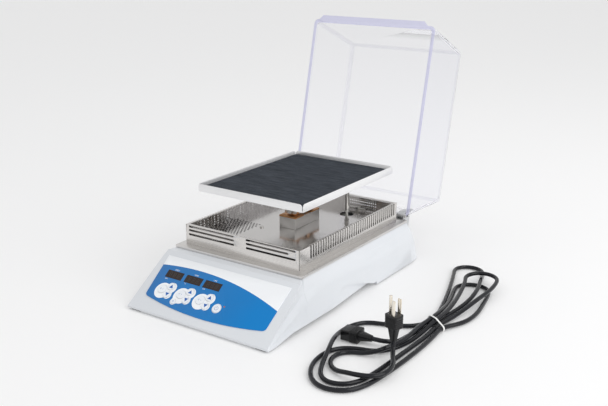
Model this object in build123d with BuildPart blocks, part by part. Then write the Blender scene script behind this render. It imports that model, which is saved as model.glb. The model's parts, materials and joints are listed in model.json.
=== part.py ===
from build123d import *
import math
import os

os.makedirs("parts", exist_ok=True)

# The incubating rocker stands on its feet at z = 0, with the control panel towards -Y.
# The origin is on the bench, under the middle of the whole instrument with its lid open.

# Driving dimensions of the deck, in millimetres
deck_front = -224.7
flange_width = 266.0
flange_depth = 345.0
flange_top = 84.0
flange_sheet = 1.5
flange_lip = 4.5
guard_half = 119.4
guard_depth = 312.8
guard_top = 120.0
guard_sheet = 1.2
floor_top = 98.0
tray_half = 114.4
tray_sheet = 1.2
hole_size = 2.8
wall_pitch = 4.6
floor_hole = 3.6
floor_pitch = (6.2, 11.0)

# Driving dimensions of the moulded base
wall = 3.0
skirt_bottom = 3.0
raised_bottom = 8.0
plate_top = 9.5
plate_sheet = 1.5
foot_height = 3.0

# Driving dimensions of the control panel
panel_low = 6.5
panel_depth = 95.5
panel_high = 77.5
film = 1.2
key_low = 0.9
key_high = 2.0
key_gap = 0.35

# Driving dimensions of the rocking platform and its drive
platform_width = 218.8
platform_depth = 290.0
corner_gap = 2.0
platform_bottom = 175.0
platform_sheet = 1.5
rim_height = 13.0
mat_thickness = 5.0
pivot_z = 127.0
pivot_radius = 4.0
drive_x = 43.0
ball_z = 112.0
crank_z = 62.0
crank_throw = 15.7
running_fit = 0.05

# Driving dimensions of the lid, drawn closed and placed open
lid_width = 266.0
lid_depth = 354.0
lid_height = 145.0
lid_wall = 3.0
lid_rim = 6.5
lid_lean = 13.0
hinge_pin_up = 3.0
hinge_z = 87.4


def back(distance):
    """The y of a place this far behind the flange's front edge."""
    return deck_front + distance


def block(x, y, z, mode=Mode.ADD, frame=Plane.XY):
    """A block that fills these ranges of the frame."""
    centre = ((x[0] + x[1]) / 2, (y[0] + y[1]) / 2, (z[0] + z[1]) / 2)
    with Locations(frame.location * Pos(*centre)):
        Box(x[1] - x[0], y[1] - y[0], z[1] - z[0], mode=mode)


def rod(radius, start, end, mode=Mode.ADD):
    """A round bar from one point to another."""
    run = Vector(*end) - Vector(*start)
    with Locations(Plane(origin=start, z_dir=run)):
        Cylinder(radius, run.length, align=(Align.CENTER, Align.CENTER, Align.MIN), mode=mode)


def save(part, name):
    part.label = name
    export_step(part, "parts/" + name + ".step")


def panel_line(distance):
    """The height of the sloped front at this distance."""
    return panel_low + (distance + 107.5) * (panel_high - panel_low) / panel_depth


# Half outlines of the moulded base as seen from the front. For each distance behind the
# flange's front edge: the top edge, the valley, the ridge, the line under it, the foot line.
stations = [
    (-107.5, (145.0, 6.5), (145.3, 6.0), (145.8, 5.2), (145.9, 4.4), (146.0, 3.0)),
    (-73.0, (143.5, panel_line(-73.0)), (142.3, 27.0), (145.2, 19.0), (143.8, 12.0), (146.0, 3.0)),
    (-24.0, (140.5, panel_line(-24.0)), (137.5, 46.0), (143.0, 33.5), (142.3, 24.0), (146.0, 3.0)),
    (-12.0, (138.5, 77.5), (136.8, 51.0), (142.5, 37.0), (142.2, 27.0), (146.0, 3.0)),
    (1.6, (130.6, 79.2), (136.4, 55.5), (142.2, 41.0), (142.2, 31.0), (146.0, 3.0)),
    (1.9, (130.2, 82.5), (136.4, 56.5), (142.1, 42.0), (142.2, 32.0), (146.0, 3.0)),
    (35.0, (130.2, 82.5), (136.5, 62.0), (141.5, 50.0), (142.0, 40.0), (146.0, 3.0)),
    (90.0, (130.2, 82.5), (136.5, 66.0), (140.8, 55.5), (142.5, 44.0), (146.0, 3.0)),
    (160.0, (130.2, 82.5), (136.3, 66.0), (140.6, 56.0), (142.8, 44.0), (146.0, 3.0)),
    (343.1, (130.2, 82.5), (135.8, 63.0), (140.4, 50.0), (142.8, 38.0), (145.8, 3.0)),
    (343.4, (130.6, 79.2), (135.6, 62.0), (140.2, 49.5), (142.7, 37.5), (145.6, 3.0)),
    (357.0, (134.0, 62.0), (136.0, 56.0), (139.5, 46.0), (141.6, 36.0), (144.6, 3.0)),
    (366.0, (136.0, 43.0), (137.6, 39.0), (139.5, 33.0), (140.8, 27.0), (143.4, 3.0)),
    (372.0, (139.5, 10.0), (140.0, 9.0), (140.8, 7.5), (141.3, 6.0), (142.0, 3.0)),
]

# Where the inner surface has the same outline, drawn in by the wall
hollow_places = [
    (-96.0, -96.0),
    (-73.0, -73.0),
    (-24.0, -24.0),
    (-12.0, -12.0),
    (1.9, 1.6),
    (35.0, 35.0),
    (90.0, 90.0),
    (160.0, 160.0),
    (339.0, 343.4),
    (353.5, 357.0),
    (362.0, 366.0),
    (366.5, 371.0),
]


def base_section(place, distance, inset, bottom):
    """The base's outline at one distance, drawn in by the inset, on a plane facing the front."""
    for low, high in zip(stations, stations[1:]):
        if low[0] <= distance <= high[0]:
            share = (distance - low[0]) / (high[0] - low[0])
            right = []
            for a, b in zip(low[1:], high[1:]):
                x = a[0] + (b[0] - a[0]) * share - inset
                z = a[1] + (b[1] - a[1]) * share
                right.append([x, z])
    right[0][1] -= inset * 1.25
    right[1][1] -= inset * 0.6
    right[4][1] = bottom
    outline = [(x, z) for x, z in right]
    outline += [(-x, z) for x, z in reversed(right)]
    with BuildSketch(Plane.XZ.offset(-back(place))) as section:
        with BuildLine():
            Polyline(*outline, close=True)
        make_face()
    return section.sketch


def grip_scoop(depth, grow):
    """The scooped room of the right hand grip, grown on its inner sides."""
    with BuildPart() as scoop:
        with BuildSketch(Plane.YZ.offset(115.0)):
            with BuildLine():
                arch = Spline(
                    (back(57.0), 7.0 + grow),
                    (back(74.0), 24.0 + grow),
                    (back(105.0), 33.0 + grow),
                    (back(140.0), 27.0 + grow),
                    (back(177.0), 16.5 + grow),
                    (back(214.0 + grow), 3.5 + grow),
                )
                Polyline(arch @ 1, (back(214.0 + grow), -1.0), (back(57.0), -1.0), arch @ 0)
            make_face()
        extrude(amount=40.0)
        with BuildSketch(Plane.XY.offset(-2.0)):
            with BuildLine():
                Polyline(
                    (147.0 - grow, back(52.0)),
                    (146.0 - depth - grow, back(214.0 + grow)),
                    (156.0, back(214.0 + grow)),
                    (156.0, back(52.0)),
                    close=True,
                )
            make_face()
        extrude(amount=60.0, mode=Mode.INTERSECT)
    return scoop.part


panel_rise = math.degrees(math.atan2(panel_high - panel_low, panel_depth))
panel_normal = (0.0, -math.sin(math.radians(panel_rise)), math.cos(math.radians(panel_rise)))
panel = Plane(origin=(0, back(-107.5), panel_low), x_dir=(1, 0, 0), z_dir=panel_normal)

# Layout of the control panel: across, and up the slope from its lower edge
display_places = [(-92.0, 75.2), (-50.5, 75.2), (-10.0, 75.2)]
lamp_place = (33.6, 46.0)
board_posts = [(-107.0, 36.0), (46.0, 36.0), (-107.0, 94.0), (46.0, 94.0)]

posts = [(118.0, -62.0), (127.0, 120.0), (121.0, 312.0)]
inlet_x = -78.0
inlet_z = 31.0
inlet_face = 359.0
grip_depth = 11.0

# Base housing
with BuildPart() as hollow:
    inner = [base_section(place, distance, wall, 0.0) for place, distance in hollow_places]
    loft(sections=inner, ruled=True)
    for x, distance in posts:
        for side in (-1, 1):
            rod(
                5.0,
                (side * x, back(distance), plate_top),
                (side * x, back(distance), 90.0),
                mode=Mode.SUBTRACT,
            )
    for side in (-1, 1):
        inner_edge, outer_edge = sorted((side * 114.0, side * 148.0))
        front_boss = (back(-108.0), back(-83.0))
        rear_boss = (back(326.0), back(374.0))
        block((inner_edge, outer_edge), front_boss, (foot_height, 11.0), mode=Mode.SUBTRACT)
        block((inner_edge, outer_edge), rear_boss, (foot_height, 11.0), mode=Mode.SUBTRACT)
    block(
        (inlet_x - 33.0, inlet_x + 33.0),
        (back(inlet_face - wall), back(380.0)),
        (inlet_z - 21.0, inlet_z + 21.0),
        mode=Mode.SUBTRACT,
    )
    for place in board_posts:
        low = panel.from_local_coords((place[0], place[1], -8.0))
        high = panel.from_local_coords((place[0], place[1], 0.0))
        rod(3.0, low, high, mode=Mode.SUBTRACT)
    right_scoop = grip_scoop(grip_depth, wall)
    add(right_scoop, mode=Mode.SUBTRACT)
    add(mirror(right_scoop, about=Plane.YZ, mode=Mode.PRIVATE), mode=Mode.SUBTRACT)

with BuildPart() as base_housing:
    outer = [base_section(row[0], row[0], 0.0, skirt_bottom) for row in stations]
    loft(sections=outer, ruled=True)
    add(hollow.part, mode=Mode.SUBTRACT)
    # opening under the deck
    with BuildSketch(Plane.XY.offset(90.0)):
        with Locations((0, back(170.4))):
            RectangleRounded(224.0, 298.0, 6.0)
    extrude(amount=-20.0, mode=Mode.SUBTRACT)
    # bottom edge raised between the feet
    with BuildSketch(Plane.YZ.offset(-150.0)):
        with BuildLine():
            Polyline(
                (back(-83.0), 2.0),
                (back(-83.0), 3.2),
                (back(-40.0), raised_bottom),
                (back(214.0), raised_bottom),
                (back(214.0), 2.0),
                close=True,
            )
        make_face()
    extrude(amount=300.0, mode=Mode.SUBTRACT)
    # hand grips in both side walls
    right_cut = grip_scoop(grip_depth, 0.0)
    add(right_cut, mode=Mode.SUBTRACT)
    add(mirror(right_cut, about=Plane.YZ, mode=Mode.PRIVATE), mode=Mode.SUBTRACT)
    # recess and cut-out for the mains inlet
    block(
        (inlet_x - 29.0, inlet_x + 29.0),
        (back(inlet_face), back(380.0)),
        (inlet_z - 18.0, inlet_z + 18.0),
        mode=Mode.SUBTRACT,
    )
    block(
        (inlet_x - 15.2, inlet_x + 15.2),
        (back(inlet_face - 6.0), back(inlet_face + 1.0)),
        (inlet_z - 13.7, inlet_z + 13.7),
        mode=Mode.SUBTRACT,
    )
    for side in (-1, 1):
        screw_x = inlet_x + side * 20.0
        rod(
            1.5,
            (screw_x, back(inlet_face - 6.0), inlet_z),
            (screw_x, back(inlet_face + 1.0), inlet_z),
            mode=Mode.SUBTRACT,
        )
    # screw holes in the posts and stem holes for the feet
    for x, distance in posts:
        for side in (-1, 1):
            rod(
                1.6,
                (side * x, back(distance), plate_top - 1.0),
                (side * x, back(distance), 26.0),
                mode=Mode.SUBTRACT,
            )
    for x, distance in ((130.0, -94.5), (130.0, 343.0)):
        for side in (-1, 1):
            rod(
                2.5,
                (side * x, back(distance), 2.0),
                (side * x, back(distance), 7.5),
                mode=Mode.SUBTRACT,
            )
    # windows for the displays and the lamp
    with BuildSketch(panel.offset(1.0)):
        with Locations(*display_places):
            Rectangle(33.0, 12.5)
        with Locations(lamp_place):
            Circle(1.8)
    extrude(amount=-7.0, mode=Mode.SUBTRACT)

save(base_housing.part, "base_housing")

# Rubber feet, each with a stem pushed into the housing
with BuildPart() as rubber_feet:
    for x, distance in ((130.0, -94.5), (130.0, 343.0)):
        for side in (-1, 1):
            with BuildSketch(Plane.XY):
                with Locations((side * x, back(distance))):
                    RectangleRounded(24.0, 19.0, 3.0)
            extrude(amount=foot_height)
            rod(2.5, (side * x, back(distance), 2.0), (side * x, back(distance), 7.0))
save(rubber_feet.part, "rubber_feet")

# Bottom plate
with BuildPart() as bottom_plate:
    with BuildSketch(Plane.XY.offset(plate_top - plate_sheet)):
        with BuildLine():
            Polyline(
                (138.0, back(-81.0)),
                (138.0, back(60.0)),
                (129.5, back(214.0)),
                (129.5, back(322.0)),
                (-129.5, back(322.0)),
                (-129.5, back(214.0)),
                (-138.0, back(60.0)),
                (-138.0, back(-81.0)),
                close=True,
            )
        make_face()
        for x, distance in posts:
            with Locations((x, back(distance)), (-x, back(distance))):
                Circle(1.9, mode=Mode.SUBTRACT)
        with Locations((60.0, back(120.0))):
            with GridLocations(12.0, 0.0, 6, 1):
                SlotOverall(40.0, 4.0, rotation=90, mode=Mode.SUBTRACT)
    extrude(amount=plate_sheet)
save(bottom_plate.part, "bottom_plate")

with BuildPart() as bottom_screws:
    for x, distance in posts:
        for side in (-1, 1):
            foot = (side * x, back(distance), plate_top - plate_sheet)
            rod(3.2, (foot[0], foot[1], foot[2] - 2.2), foot)
            rod(1.6, foot, (foot[0], foot[1], 22.0))
            block(
                (foot[0] - 2.2, foot[0] + 2.2),
                (foot[1] - 0.4, foot[1] + 0.4),
                (foot[2] - 2.3, foot[2] - 1.2),
                mode=Mode.SUBTRACT,
            )
save(bottom_screws.part, "bottom_screws")

# Control panel: keypad laminate with its keys, windows and lamp
on_keys = [(-98.8, 45.2), (-57.5, 45.2), (-16.2, 45.2)]
up_keys = [(-84.2, 53.8), (-42.9, 53.8), (-1.6, 53.8)]
down_keys = [(-84.2, 37.9), (-42.9, 37.9), (-1.6, 37.9)]
timer_key = (-63.6, 29.6)
standby_key = (22.0, 39.4)

with BuildPart() as control_overlay:
    with BuildSketch(panel):
        with BuildLine():
            Line((-128.0, 108.5), (128.0, 108.5))
            Line((128.0, 108.5), (124.8, 33.0))
            ThreePointArc((124.8, 33.0), (123.2, 28.4), (118.8, 26.0))
            ThreePointArc((118.8, 26.0), (0.0, 14.5), (-118.8, 26.0))
            ThreePointArc((-118.8, 26.0), (-123.2, 28.4), (-124.8, 33.0))
            Line((-124.8, 33.0), (-128.0, 108.5))
        make_face()
        with Locations(*display_places):
            Rectangle(35.0, 14.5, mode=Mode.SUBTRACT)
        with Locations(*on_keys):
            Ellipse(8.4 + key_gap, 7.9 + key_gap, mode=Mode.SUBTRACT)
        with Locations(*up_keys):
            Circle(6.8 + key_gap, mode=Mode.SUBTRACT)
        with Locations(*down_keys):
            Circle(6.3 + key_gap, mode=Mode.SUBTRACT)
        with Locations(timer_key):
            Circle(4.6 + key_gap, mode=Mode.SUBTRACT)
        with Locations(standby_key):
            Circle(7.8 + key_gap, mode=Mode.SUBTRACT)
        with Locations(lamp_place):
            Circle(1.5, mode=Mode.SUBTRACT)
    extrude(amount=film)
save(control_overlay.part, "control_overlay")

key_shapes = []
for name, place in zip(("speed", "heat", "time"), on_keys):
    key_shapes.append((name + "_on_key", place, 8.4, 7.9))
for name, place in zip(("speed", "heat", "time"), up_keys):
    key_shapes.append((name + "_up_key", place, 6.8, 6.8))
for name, place in zip(("speed", "heat", "time"), down_keys):
    key_shapes.append((name + "_down_key", place, 6.3, 6.3))
key_shapes.append(("timer_key", timer_key, 4.6, 4.6))
key_shapes.append(("standby_key", standby_key, 7.8, 7.8))

for name, place, half_wide, half_high in key_shapes:
    with BuildPart() as key:
        with BuildSketch(panel.offset(key_low)):
            with Locations(place):
                if half_wide == half_high:
                    Circle(half_wide)
                else:
                    Ellipse(half_wide, half_high)
        extrude(amount=key_high - key_low)
        fillet(key.faces().sort_by(Axis(panel.origin, panel.z_dir))[-1].edges(), 0.4)
    save(key.part, name)

with BuildPart() as display_windows:
    with BuildSketch(panel.offset(0.1)):
        with Locations(*display_places):
            Rectangle(34.9, 14.4)
    extrude(amount=film)
save(display_windows.part, "display_windows")

with BuildPart() as led_displays:
    with BuildSketch(panel.offset(-8.0)):
        with Locations(*display_places):
            Rectangle(31.0, 11.0)
    extrude(amount=7.5)
save(led_displays.part, "led_displays")

with BuildPart() as status_lamp:
    lamp_low = panel.from_local_coords((lamp_place[0], lamp_place[1], -8.0))
    lamp_high = panel.from_local_coords((lamp_place[0], lamp_place[1], film))
    rod(1.5, lamp_low, lamp_high)
save(status_lamp.part, "status_lamp")

with BuildPart() as display_board:
    with BuildSketch(panel.offset(-9.6)):
        with Locations((-30.0, 65.0)):
            Rectangle(164.0, 66.0)
    extrude(amount=1.6)
save(display_board.part, "display_board")

# Deck: flange, slotted guard and perforated tray
with BuildPart() as deck_flange:
    with BuildSketch(Plane.XY.offset(flange_top)):
        with Locations((0, back(flange_depth / 2))):
            RectangleRounded(flange_width, flange_depth, 2.0)
    extrude(amount=-flange_lip)
    with BuildSketch(Plane.XY.offset(flange_top - flange_sheet)):
        with Locations((0, back(flange_depth / 2))):
            Rectangle(flange_width - 2 * flange_sheet, flange_depth - 2 * flange_sheet)
    extrude(amount=-flange_lip, mode=Mode.SUBTRACT)
    with BuildSketch(Plane.XY.offset(flange_top)):
        with Locations((0, back(170.4))):
            RectangleRounded(226.0, 300.0, 7.0)
    extrude(amount=-flange_sheet, mode=Mode.SUBTRACT)
save(deck_flange.part, "deck_flange")

side_slots = 38
side_pitch = 271.0 / (side_slots - 1)
row_heights = (103.0, 110.5, 117.0)
with BuildPart() as vent_guard:
    guard_range = (back(14.0), back(14.0 + guard_depth))
    block((-guard_half, guard_half), guard_range, (flange_top, guard_top))
    inner_range = (guard_range[0] + guard_sheet, guard_range[1] - guard_sheet)
    inner_half = guard_half - guard_sheet
    block(
        (-inner_half, inner_half),
        inner_range,
        (flange_top, guard_top - guard_sheet),
        mode=Mode.SUBTRACT,
    )
    block(
        (-tray_half, tray_half),
        (back(19.0), back(321.8)),
        (guard_top - 2.0, guard_top + 1.0),
        mode=Mode.SUBTRACT,
    )
    # level slots in the front and rear walls
    with BuildSketch(Plane.XZ.offset(-back(10.0))):
        for height in row_heights:
            with Locations((-63.5, height)):
                SlotOverall(99.0, 3.5)
            right_end = 97.0 if height == row_heights[1] else 111.0
            with Locations(((11.0 + right_end) / 2, height)):
                SlotOverall(right_end - 11.0, 3.5)
    extrude(amount=-330.0, mode=Mode.SUBTRACT)
    # upright slots in both side walls, open over the folded edge
    with BuildSketch(Plane.XY.offset(guard_top + 1.0)):
        with Locations((0, back(180.5))):
            with GridLocations(2 * 118.6, side_pitch, 2, side_slots):
                Rectangle(4.4, 3.6)
    extrude(amount=-(guard_top + 1.0 - 98.0), mode=Mode.SUBTRACT)
save(vent_guard.part, "vent_guard")

rod_hole = (drive_x, back(275.0))
with BuildPart() as deck_tray:
    tray_range = (back(19.2), back(321.4))
    block((-tray_half + 0.2, tray_half - 0.2), tray_range, (floor_top - tray_sheet, 118.5))
    block(
        (-tray_half + 0.2 + tray_sheet, tray_half - 0.2 - tray_sheet),
        (tray_range[0] + tray_sheet, tray_range[1] - tray_sheet),
        (floor_top, 120.0),
        mode=Mode.SUBTRACT,
    )
    with BuildSketch(Plane.XY.offset(floor_top)):
        for shift in (-0.25, 0.25):
            row_shift = shift * floor_pitch[1]
            with Locations((-82.0 + shift * floor_pitch[0], back(82.0) + row_shift)):
                with GridLocations(floor_pitch[0], floor_pitch[1], 10, 10):
                    Circle(floor_hole / 2)
        with Locations(rod_hole):
            Circle(13.0)
    extrude(amount=-tray_sheet, mode=Mode.SUBTRACT)
    with BuildSketch(Plane.YZ.offset(-tray_half)):
        with Locations((back(170.2), 108.6)):
            with GridLocations(2 * wall_pitch, wall_pitch, 32, 4):
                Circle(hole_size / 2)
    extrude(amount=2.0, mode=Mode.SUBTRACT)
    with BuildSketch(Plane.XZ.offset(-tray_range[0])):
        with Locations((-81.0, 108.6)):
            with GridLocations(wall_pitch, wall_pitch, 14, 4):
                Circle(hole_size / 2)
    extrude(amount=-2.0, mode=Mode.SUBTRACT)
    with BuildSketch(Plane.XZ.offset(-tray_range[1])):
        with Locations((46.0, 108.6)):
            with GridLocations(wall_pitch, wall_pitch, 15, 4):
                Circle(hole_size / 2)
    extrude(amount=2.0, mode=Mode.SUBTRACT)
save(deck_tray.part, "deck_tray")

with BuildPart() as deck_screws:
    for x, distance in ((-41.0, 125.0), (95.0, 40.0), (95.0, 300.0), (-95.0, 300.0)):
        rod(3.4, (x, back(distance), floor_top), (x, back(distance), floor_top + 2.0))
        block(
            (x - 2.4, x + 2.4),
            (back(distance) - 0.4, back(distance) + 0.4),
            (floor_top + 1.0, floor_top + 2.1),
            mode=Mode.SUBTRACT,
        )
save(deck_screws.part, "deck_screws")

# Pivot: channel on the deck, two bearings, shaft, and the bracket under the platform
with BuildPart() as pivot_stand:
    block((-17.0, 17.0), (back(146.0), back(222.0)), (floor_top, 117.5))
    block((-15.0, 15.0), (back(148.0), back(223.0)), (floor_top + 2.0, 115.5), mode=Mode.SUBTRACT)
    block((-9.0, 9.0), (back(148.0), back(223.0)), (floor_top - 1.0, 105.0), mode=Mode.SUBTRACT)
save(pivot_stand.part, "pivot_stand")

with BuildPart() as pivot_bearings:
    for end in (-1, 1):
        strip = sorted((back(184.0 + end * 37.5), back(184.0 + end * 12.0)))
        boss = sorted((back(184.0 + end * 24.0), back(184.0 + end * 12.0)))
        block((-18.0, 18.0), strip, (117.5, 120.0))
        block((-8.0, 8.0), boss, (119.0, pivot_z))
        rod(8.0, (0, boss[0], pivot_z), (0, boss[1], pivot_z))
    rod(
        pivot_radius + running_fit,
        (0, back(150.0), pivot_z),
        (0, back(218.0), pivot_z),
        mode=Mode.SUBTRACT,
    )
save(pivot_bearings.part, "pivot_bearings")

with BuildPart() as pivot_shaft:
    rod(pivot_radius, (0, back(155.5), pivot_z), (0, back(212.5), pivot_z))
    rod(2.0, (0, back(155.0), pivot_z), (0, back(165.0), pivot_z), mode=Mode.SUBTRACT)
    rod(2.0, (0, back(203.0), pivot_z), (0, back(213.0), pivot_z), mode=Mode.SUBTRACT)
save(pivot_shaft.part, "pivot_shaft")

with BuildPart() as pivot_screws:
    rod(4.6, (0, back(153.2), pivot_z), (0, back(155.5), pivot_z))
    rod(2.0, (0, back(155.5), pivot_z), (0, back(164.0), pivot_z))
    rod(4.6, (0, back(212.5), pivot_z), (0, back(214.8), pivot_z))
    rod(2.0, (0, back(204.0), pivot_z), (0, back(212.5), pivot_z))
    block((-4.0, 4.0), (back(153.1), back(154.2)), (pivot_z - 0.5, pivot_z + 0.5), mode=Mode.SUBTRACT)
    block((-4.0, 4.0), (back(213.8), back(214.9)), (pivot_z - 0.5, pivot_z + 0.5), mode=Mode.SUBTRACT)
save(pivot_screws.part, "pivot_screws")

bracket_screws = [(-12.0, 168.0), (12.0, 168.0), (-12.0, 200.0), (12.0, 200.0)]
with BuildPart() as platform_bracket:
    with BuildSketch(Plane.XZ.offset(-back(155.5))):
        with BuildLine():
            Polyline(
                (-9.0, 122.8),
                (9.0, 122.8),
                (12.0, 124.2),
                (12.0, 131.0),
                (19.0, 133.0),
                (19.0, platform_bottom),
                (-19.0, platform_bottom),
                (-19.0, 133.0),
                (-12.0, 131.0),
                (-12.0, 124.2),
                close=True,
            )
        make_face()
    extrude(amount=-57.0)
    block((-20.0, 20.0), (back(158.5), back(209.5)), (120.0, 172.0), mode=Mode.SUBTRACT)
    rod(pivot_radius, (0, back(155.0), pivot_z), (0, back(213.0), pivot_z), mode=Mode.SUBTRACT)
    for x, distance in bracket_screws:
        rod(2.0, (x, back(distance), 171.0), (x, back(distance), 176.0), mode=Mode.SUBTRACT)
save(platform_bracket.part, "platform_bracket")

with BuildPart() as platform_screws:
    for x, distance in bracket_screws:
        rod(3.6, (x, back(distance), 169.8), (x, back(distance), 172.0))
        rod(2.0, (x, back(distance), 172.0), (x, back(distance), platform_bottom + platform_sheet))
save(platform_screws.part, "platform_screws")

platform_middle = back(181.75)
with BuildPart() as platform_tray:
    with BuildSketch(Plane.XY.offset(platform_bottom)):
        with Locations((0, platform_middle)):
            Rectangle(platform_width, platform_depth - 2 * corner_gap)
            Rectangle(platform_width - 2 * corner_gap, platform_depth)
    extrude(amount=platform_sheet)
    for side in (-1, 1):
        with BuildSketch(Plane.YZ.offset(side * platform_width / 2)):
            with Locations((platform_middle, platform_bottom + rim_height / 2)):
                long_rim = Rectangle(platform_depth - 2 * corner_gap, rim_height)
            fillet(long_rim.vertices().group_by(Axis.Y)[-1], 5.5)
        extrude(amount=-side * platform_sheet)
        with BuildSketch(Plane.XZ.offset(-(platform_middle + side * platform_depth / 2))):
            with Locations((0, platform_bottom + rim_height / 2)):
                short_rim = Rectangle(platform_width - 2 * corner_gap, rim_height)
            fillet(short_rim.vertices().group_by(Axis.Y)[-1], 5.5)
        extrude(amount=side * platform_sheet)
    for x, distance in bracket_screws:
        rod(2.0, (x, back(distance), 174.0), (x, back(distance), 178.0), mode=Mode.SUBTRACT)
    rod(2.5, (*rod_hole, 174.0), (*rod_hole, 178.0), mode=Mode.SUBTRACT)
save(platform_tray.part, "platform_tray")

with BuildPart() as rubber_mat:
    with BuildSketch(Plane.XY.offset(platform_bottom + platform_sheet)):
        with Locations((0, platform_middle)):
            RectangleRounded(213.0, 284.0, 3.0)
    extrude(amount=mat_thickness)
save(rubber_mat.part, "rubber_mat")

# Drive: stud under the platform, upright rod, crank pulley, belt and motor
with BuildPart() as drive_stud:
    rod(4.25, (*rod_hole, ball_z - 4.5), (*rod_hole, platform_bottom))
    rod(9.0, (*rod_hole, platform_bottom - 2.5), (*rod_hole, platform_bottom))
    rod(2.5, (*rod_hole, platform_bottom), (*rod_hole, platform_bottom + platform_sheet))
    block(
        (drive_x - 5.0, drive_x + 5.0),
        (back(275.0) - 1.7, back(275.0) + 1.7),
        (ball_z - 5.0, ball_z + 5.5),
        mode=Mode.SUBTRACT,
    )
    rod(1.5, (drive_x, back(275.0) - 4.0, ball_z), (drive_x, back(275.0) + 4.0, ball_z))
save(drive_stud.part, "drive_stud")

yoke_middle = drive_x - 3.15
with BuildPart() as connecting_rod:
    rod(3.8, (drive_x, back(275.0) - 1.35, ball_z), (drive_x, back(275.0) + 1.35, ball_z))
    block(
        (drive_x - 2.5, drive_x + 2.5),
        (back(275.0) - 1.35, back(275.0) + 1.35),
        (ball_z - 8.0, ball_z),
    )
    rod(2.5, (*rod_hole, crank_z + 5.0), (*rod_hole, ball_z - 7.0))
    with BuildSketch(Plane.XZ.offset(-back(273.0))):
        with Locations((yoke_middle, crank_z)):
            RectangleRounded(24.4, 15.6, 4.0)
    extrude(amount=-4.0)
    with BuildSketch(Plane.XZ.offset(-back(272.0))):
        with Locations((yoke_middle, crank_z)):
            SlotOverall(16.4, 7.9)
    extrude(amount=-6.0, mode=Mode.SUBTRACT)
    rod(
        1.5 + running_fit,
        (drive_x, back(275.0) - 2.0, ball_z),
        (drive_x, back(275.0) + 2.0, ball_z),
        mode=Mode.SUBTRACT,
    )
save(connecting_rod.part, "connecting_rod")

crank_x = drive_x - crank_throw
motor_x = -45.0
motor_z = 52.0
with BuildPart() as crank_pulley:
    rod(31.0, (crank_x, back(284.0), crank_z), (crank_x, back(285.0), crank_z))
    rod(28.5, (crank_x, back(285.0), crank_z), (crank_x, back(289.0), crank_z))
    rod(31.0, (crank_x, back(289.0), crank_z), (crank_x, back(290.0), crank_z))
    rod(9.0, (crank_x, back(290.0), crank_z), (crank_x, back(298.0), crank_z))
    rod(
        4.0 + running_fit,
        (crank_x, back(283.0), crank_z),
        (crank_x, back(299.0), crank_z),
        mode=Mode.SUBTRACT,
    )
    rod(1.8, (drive_x, back(283.0), crank_z), (drive_x, back(289.0), crank_z), mode=Mode.SUBTRACT)
save(crank_pulley.part, "crank_pulley")

with BuildPart() as crank_pin:
    rod(4.6, (drive_x, back(269.6), crank_z), (drive_x, back(271.8), crank_z))
    rod(3.0, (drive_x, back(271.8), crank_z), (drive_x, back(278.2), crank_z))
    rod(3.8, (drive_x, back(278.2), crank_z), (drive_x, back(284.0), crank_z))
    rod(1.8, (drive_x, back(284.0), crank_z), (drive_x, back(288.5), crank_z))
save(crank_pin.part, "crank_pin")

with BuildPart() as motor_pulley:
    rod(12.0, (motor_x, back(284.0), motor_z), (motor_x, back(285.0), motor_z))
    rod(9.5, (motor_x, back(285.0), motor_z), (motor_x, back(289.0), motor_z))
    rod(12.0, (motor_x, back(289.0), motor_z), (motor_x, back(290.0), motor_z))
    rod(3.0, (motor_x, back(283.0), motor_z), (motor_x, back(314.0), motor_z))
save(motor_pulley.part, "motor_pulley")

belt_plane = Plane.XZ.offset(-back(285.35))
with BuildPart() as drive_belt:
    with BuildSketch(belt_plane):
        with Locations((crank_x, crank_z)):
            Circle(30.4)
        with Locations((motor_x, motor_z)):
            Circle(11.4)
        make_hull()
    extrude(amount=-3.3)
    with BuildSketch(belt_plane.offset(1.0)):
        with Locations((crank_x, crank_z)):
            Circle(28.9)
        with Locations((motor_x, motor_z)):
            Circle(9.9)
        make_hull()
    extrude(amount=-6.0, mode=Mode.SUBTRACT)
save(drive_belt.part, "drive_belt")

with BuildPart() as motor_bracket:
    block((-78.0, 68.0), (back(300.0), back(303.0)), (plate_top, 78.0))
    block((-78.0, 68.0), (back(303.0), back(318.0)), (plate_top, plate_top + 3.0))
    rod(4.0, (crank_x, back(283.6), crank_z), (crank_x, back(300.0), crank_z))
    rod(6.0, (crank_x, back(281.8), crank_z), (crank_x, back(283.6), crank_z))
    rod(10.0, (motor_x, back(299.0), motor_z), (motor_x, back(304.0), motor_z), mode=Mode.SUBTRACT)
save(motor_bracket.part, "motor_bracket")

with BuildPart() as drive_motor:
    rod(23.0, (motor_x, back(303.0), motor_z), (motor_x, back(330.0), motor_z))
    rod(10.0, (motor_x, back(297.0), motor_z), (motor_x, back(303.0), motor_z))
    rod(
        3.0 + running_fit,
        (motor_x, back(296.0), motor_z),
        (motor_x, back(316.0), motor_z),
        mode=Mode.SUBTRACT,
    )
save(drive_motor.part, "drive_motor")

# Warm air: fan under the perforated floor, heater and probe
fan_x = -70.0
fan_y = back(85.0)
fan_low = 76.8
with BuildPart() as fan_frame:
    block((fan_x - 36.0, fan_x + 36.0), (fan_y - 36.0, fan_y + 36.0), (fan_low, floor_top - tray_sheet))
    rod(33.0, (fan_x, fan_y, fan_low - 1.0), (fan_x, fan_y, 98.0), mode=Mode.SUBTRACT)
    for corner_x in (-31.5, 31.5):
        for corner_y in (-31.5, 31.5):
            corner = (fan_x + corner_x, fan_y + corner_y)
            rod(2.2, (*corner, fan_low - 1.0), (*corner, 98.0), mode=Mode.SUBTRACT)
    rod(14.0, (fan_x, fan_y, fan_low), (fan_x, fan_y, fan_low + 2.5))
    with Locations((fan_x, fan_y, fan_low + 1.25)):
        with PolarLocations(22.0, 3):
            Box(26.0, 5.0, 2.5)
    rod(3.0, (fan_x, fan_y, fan_low + 2.5), (fan_x, fan_y, 92.0))
save(fan_frame.part, "fan_frame")

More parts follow.
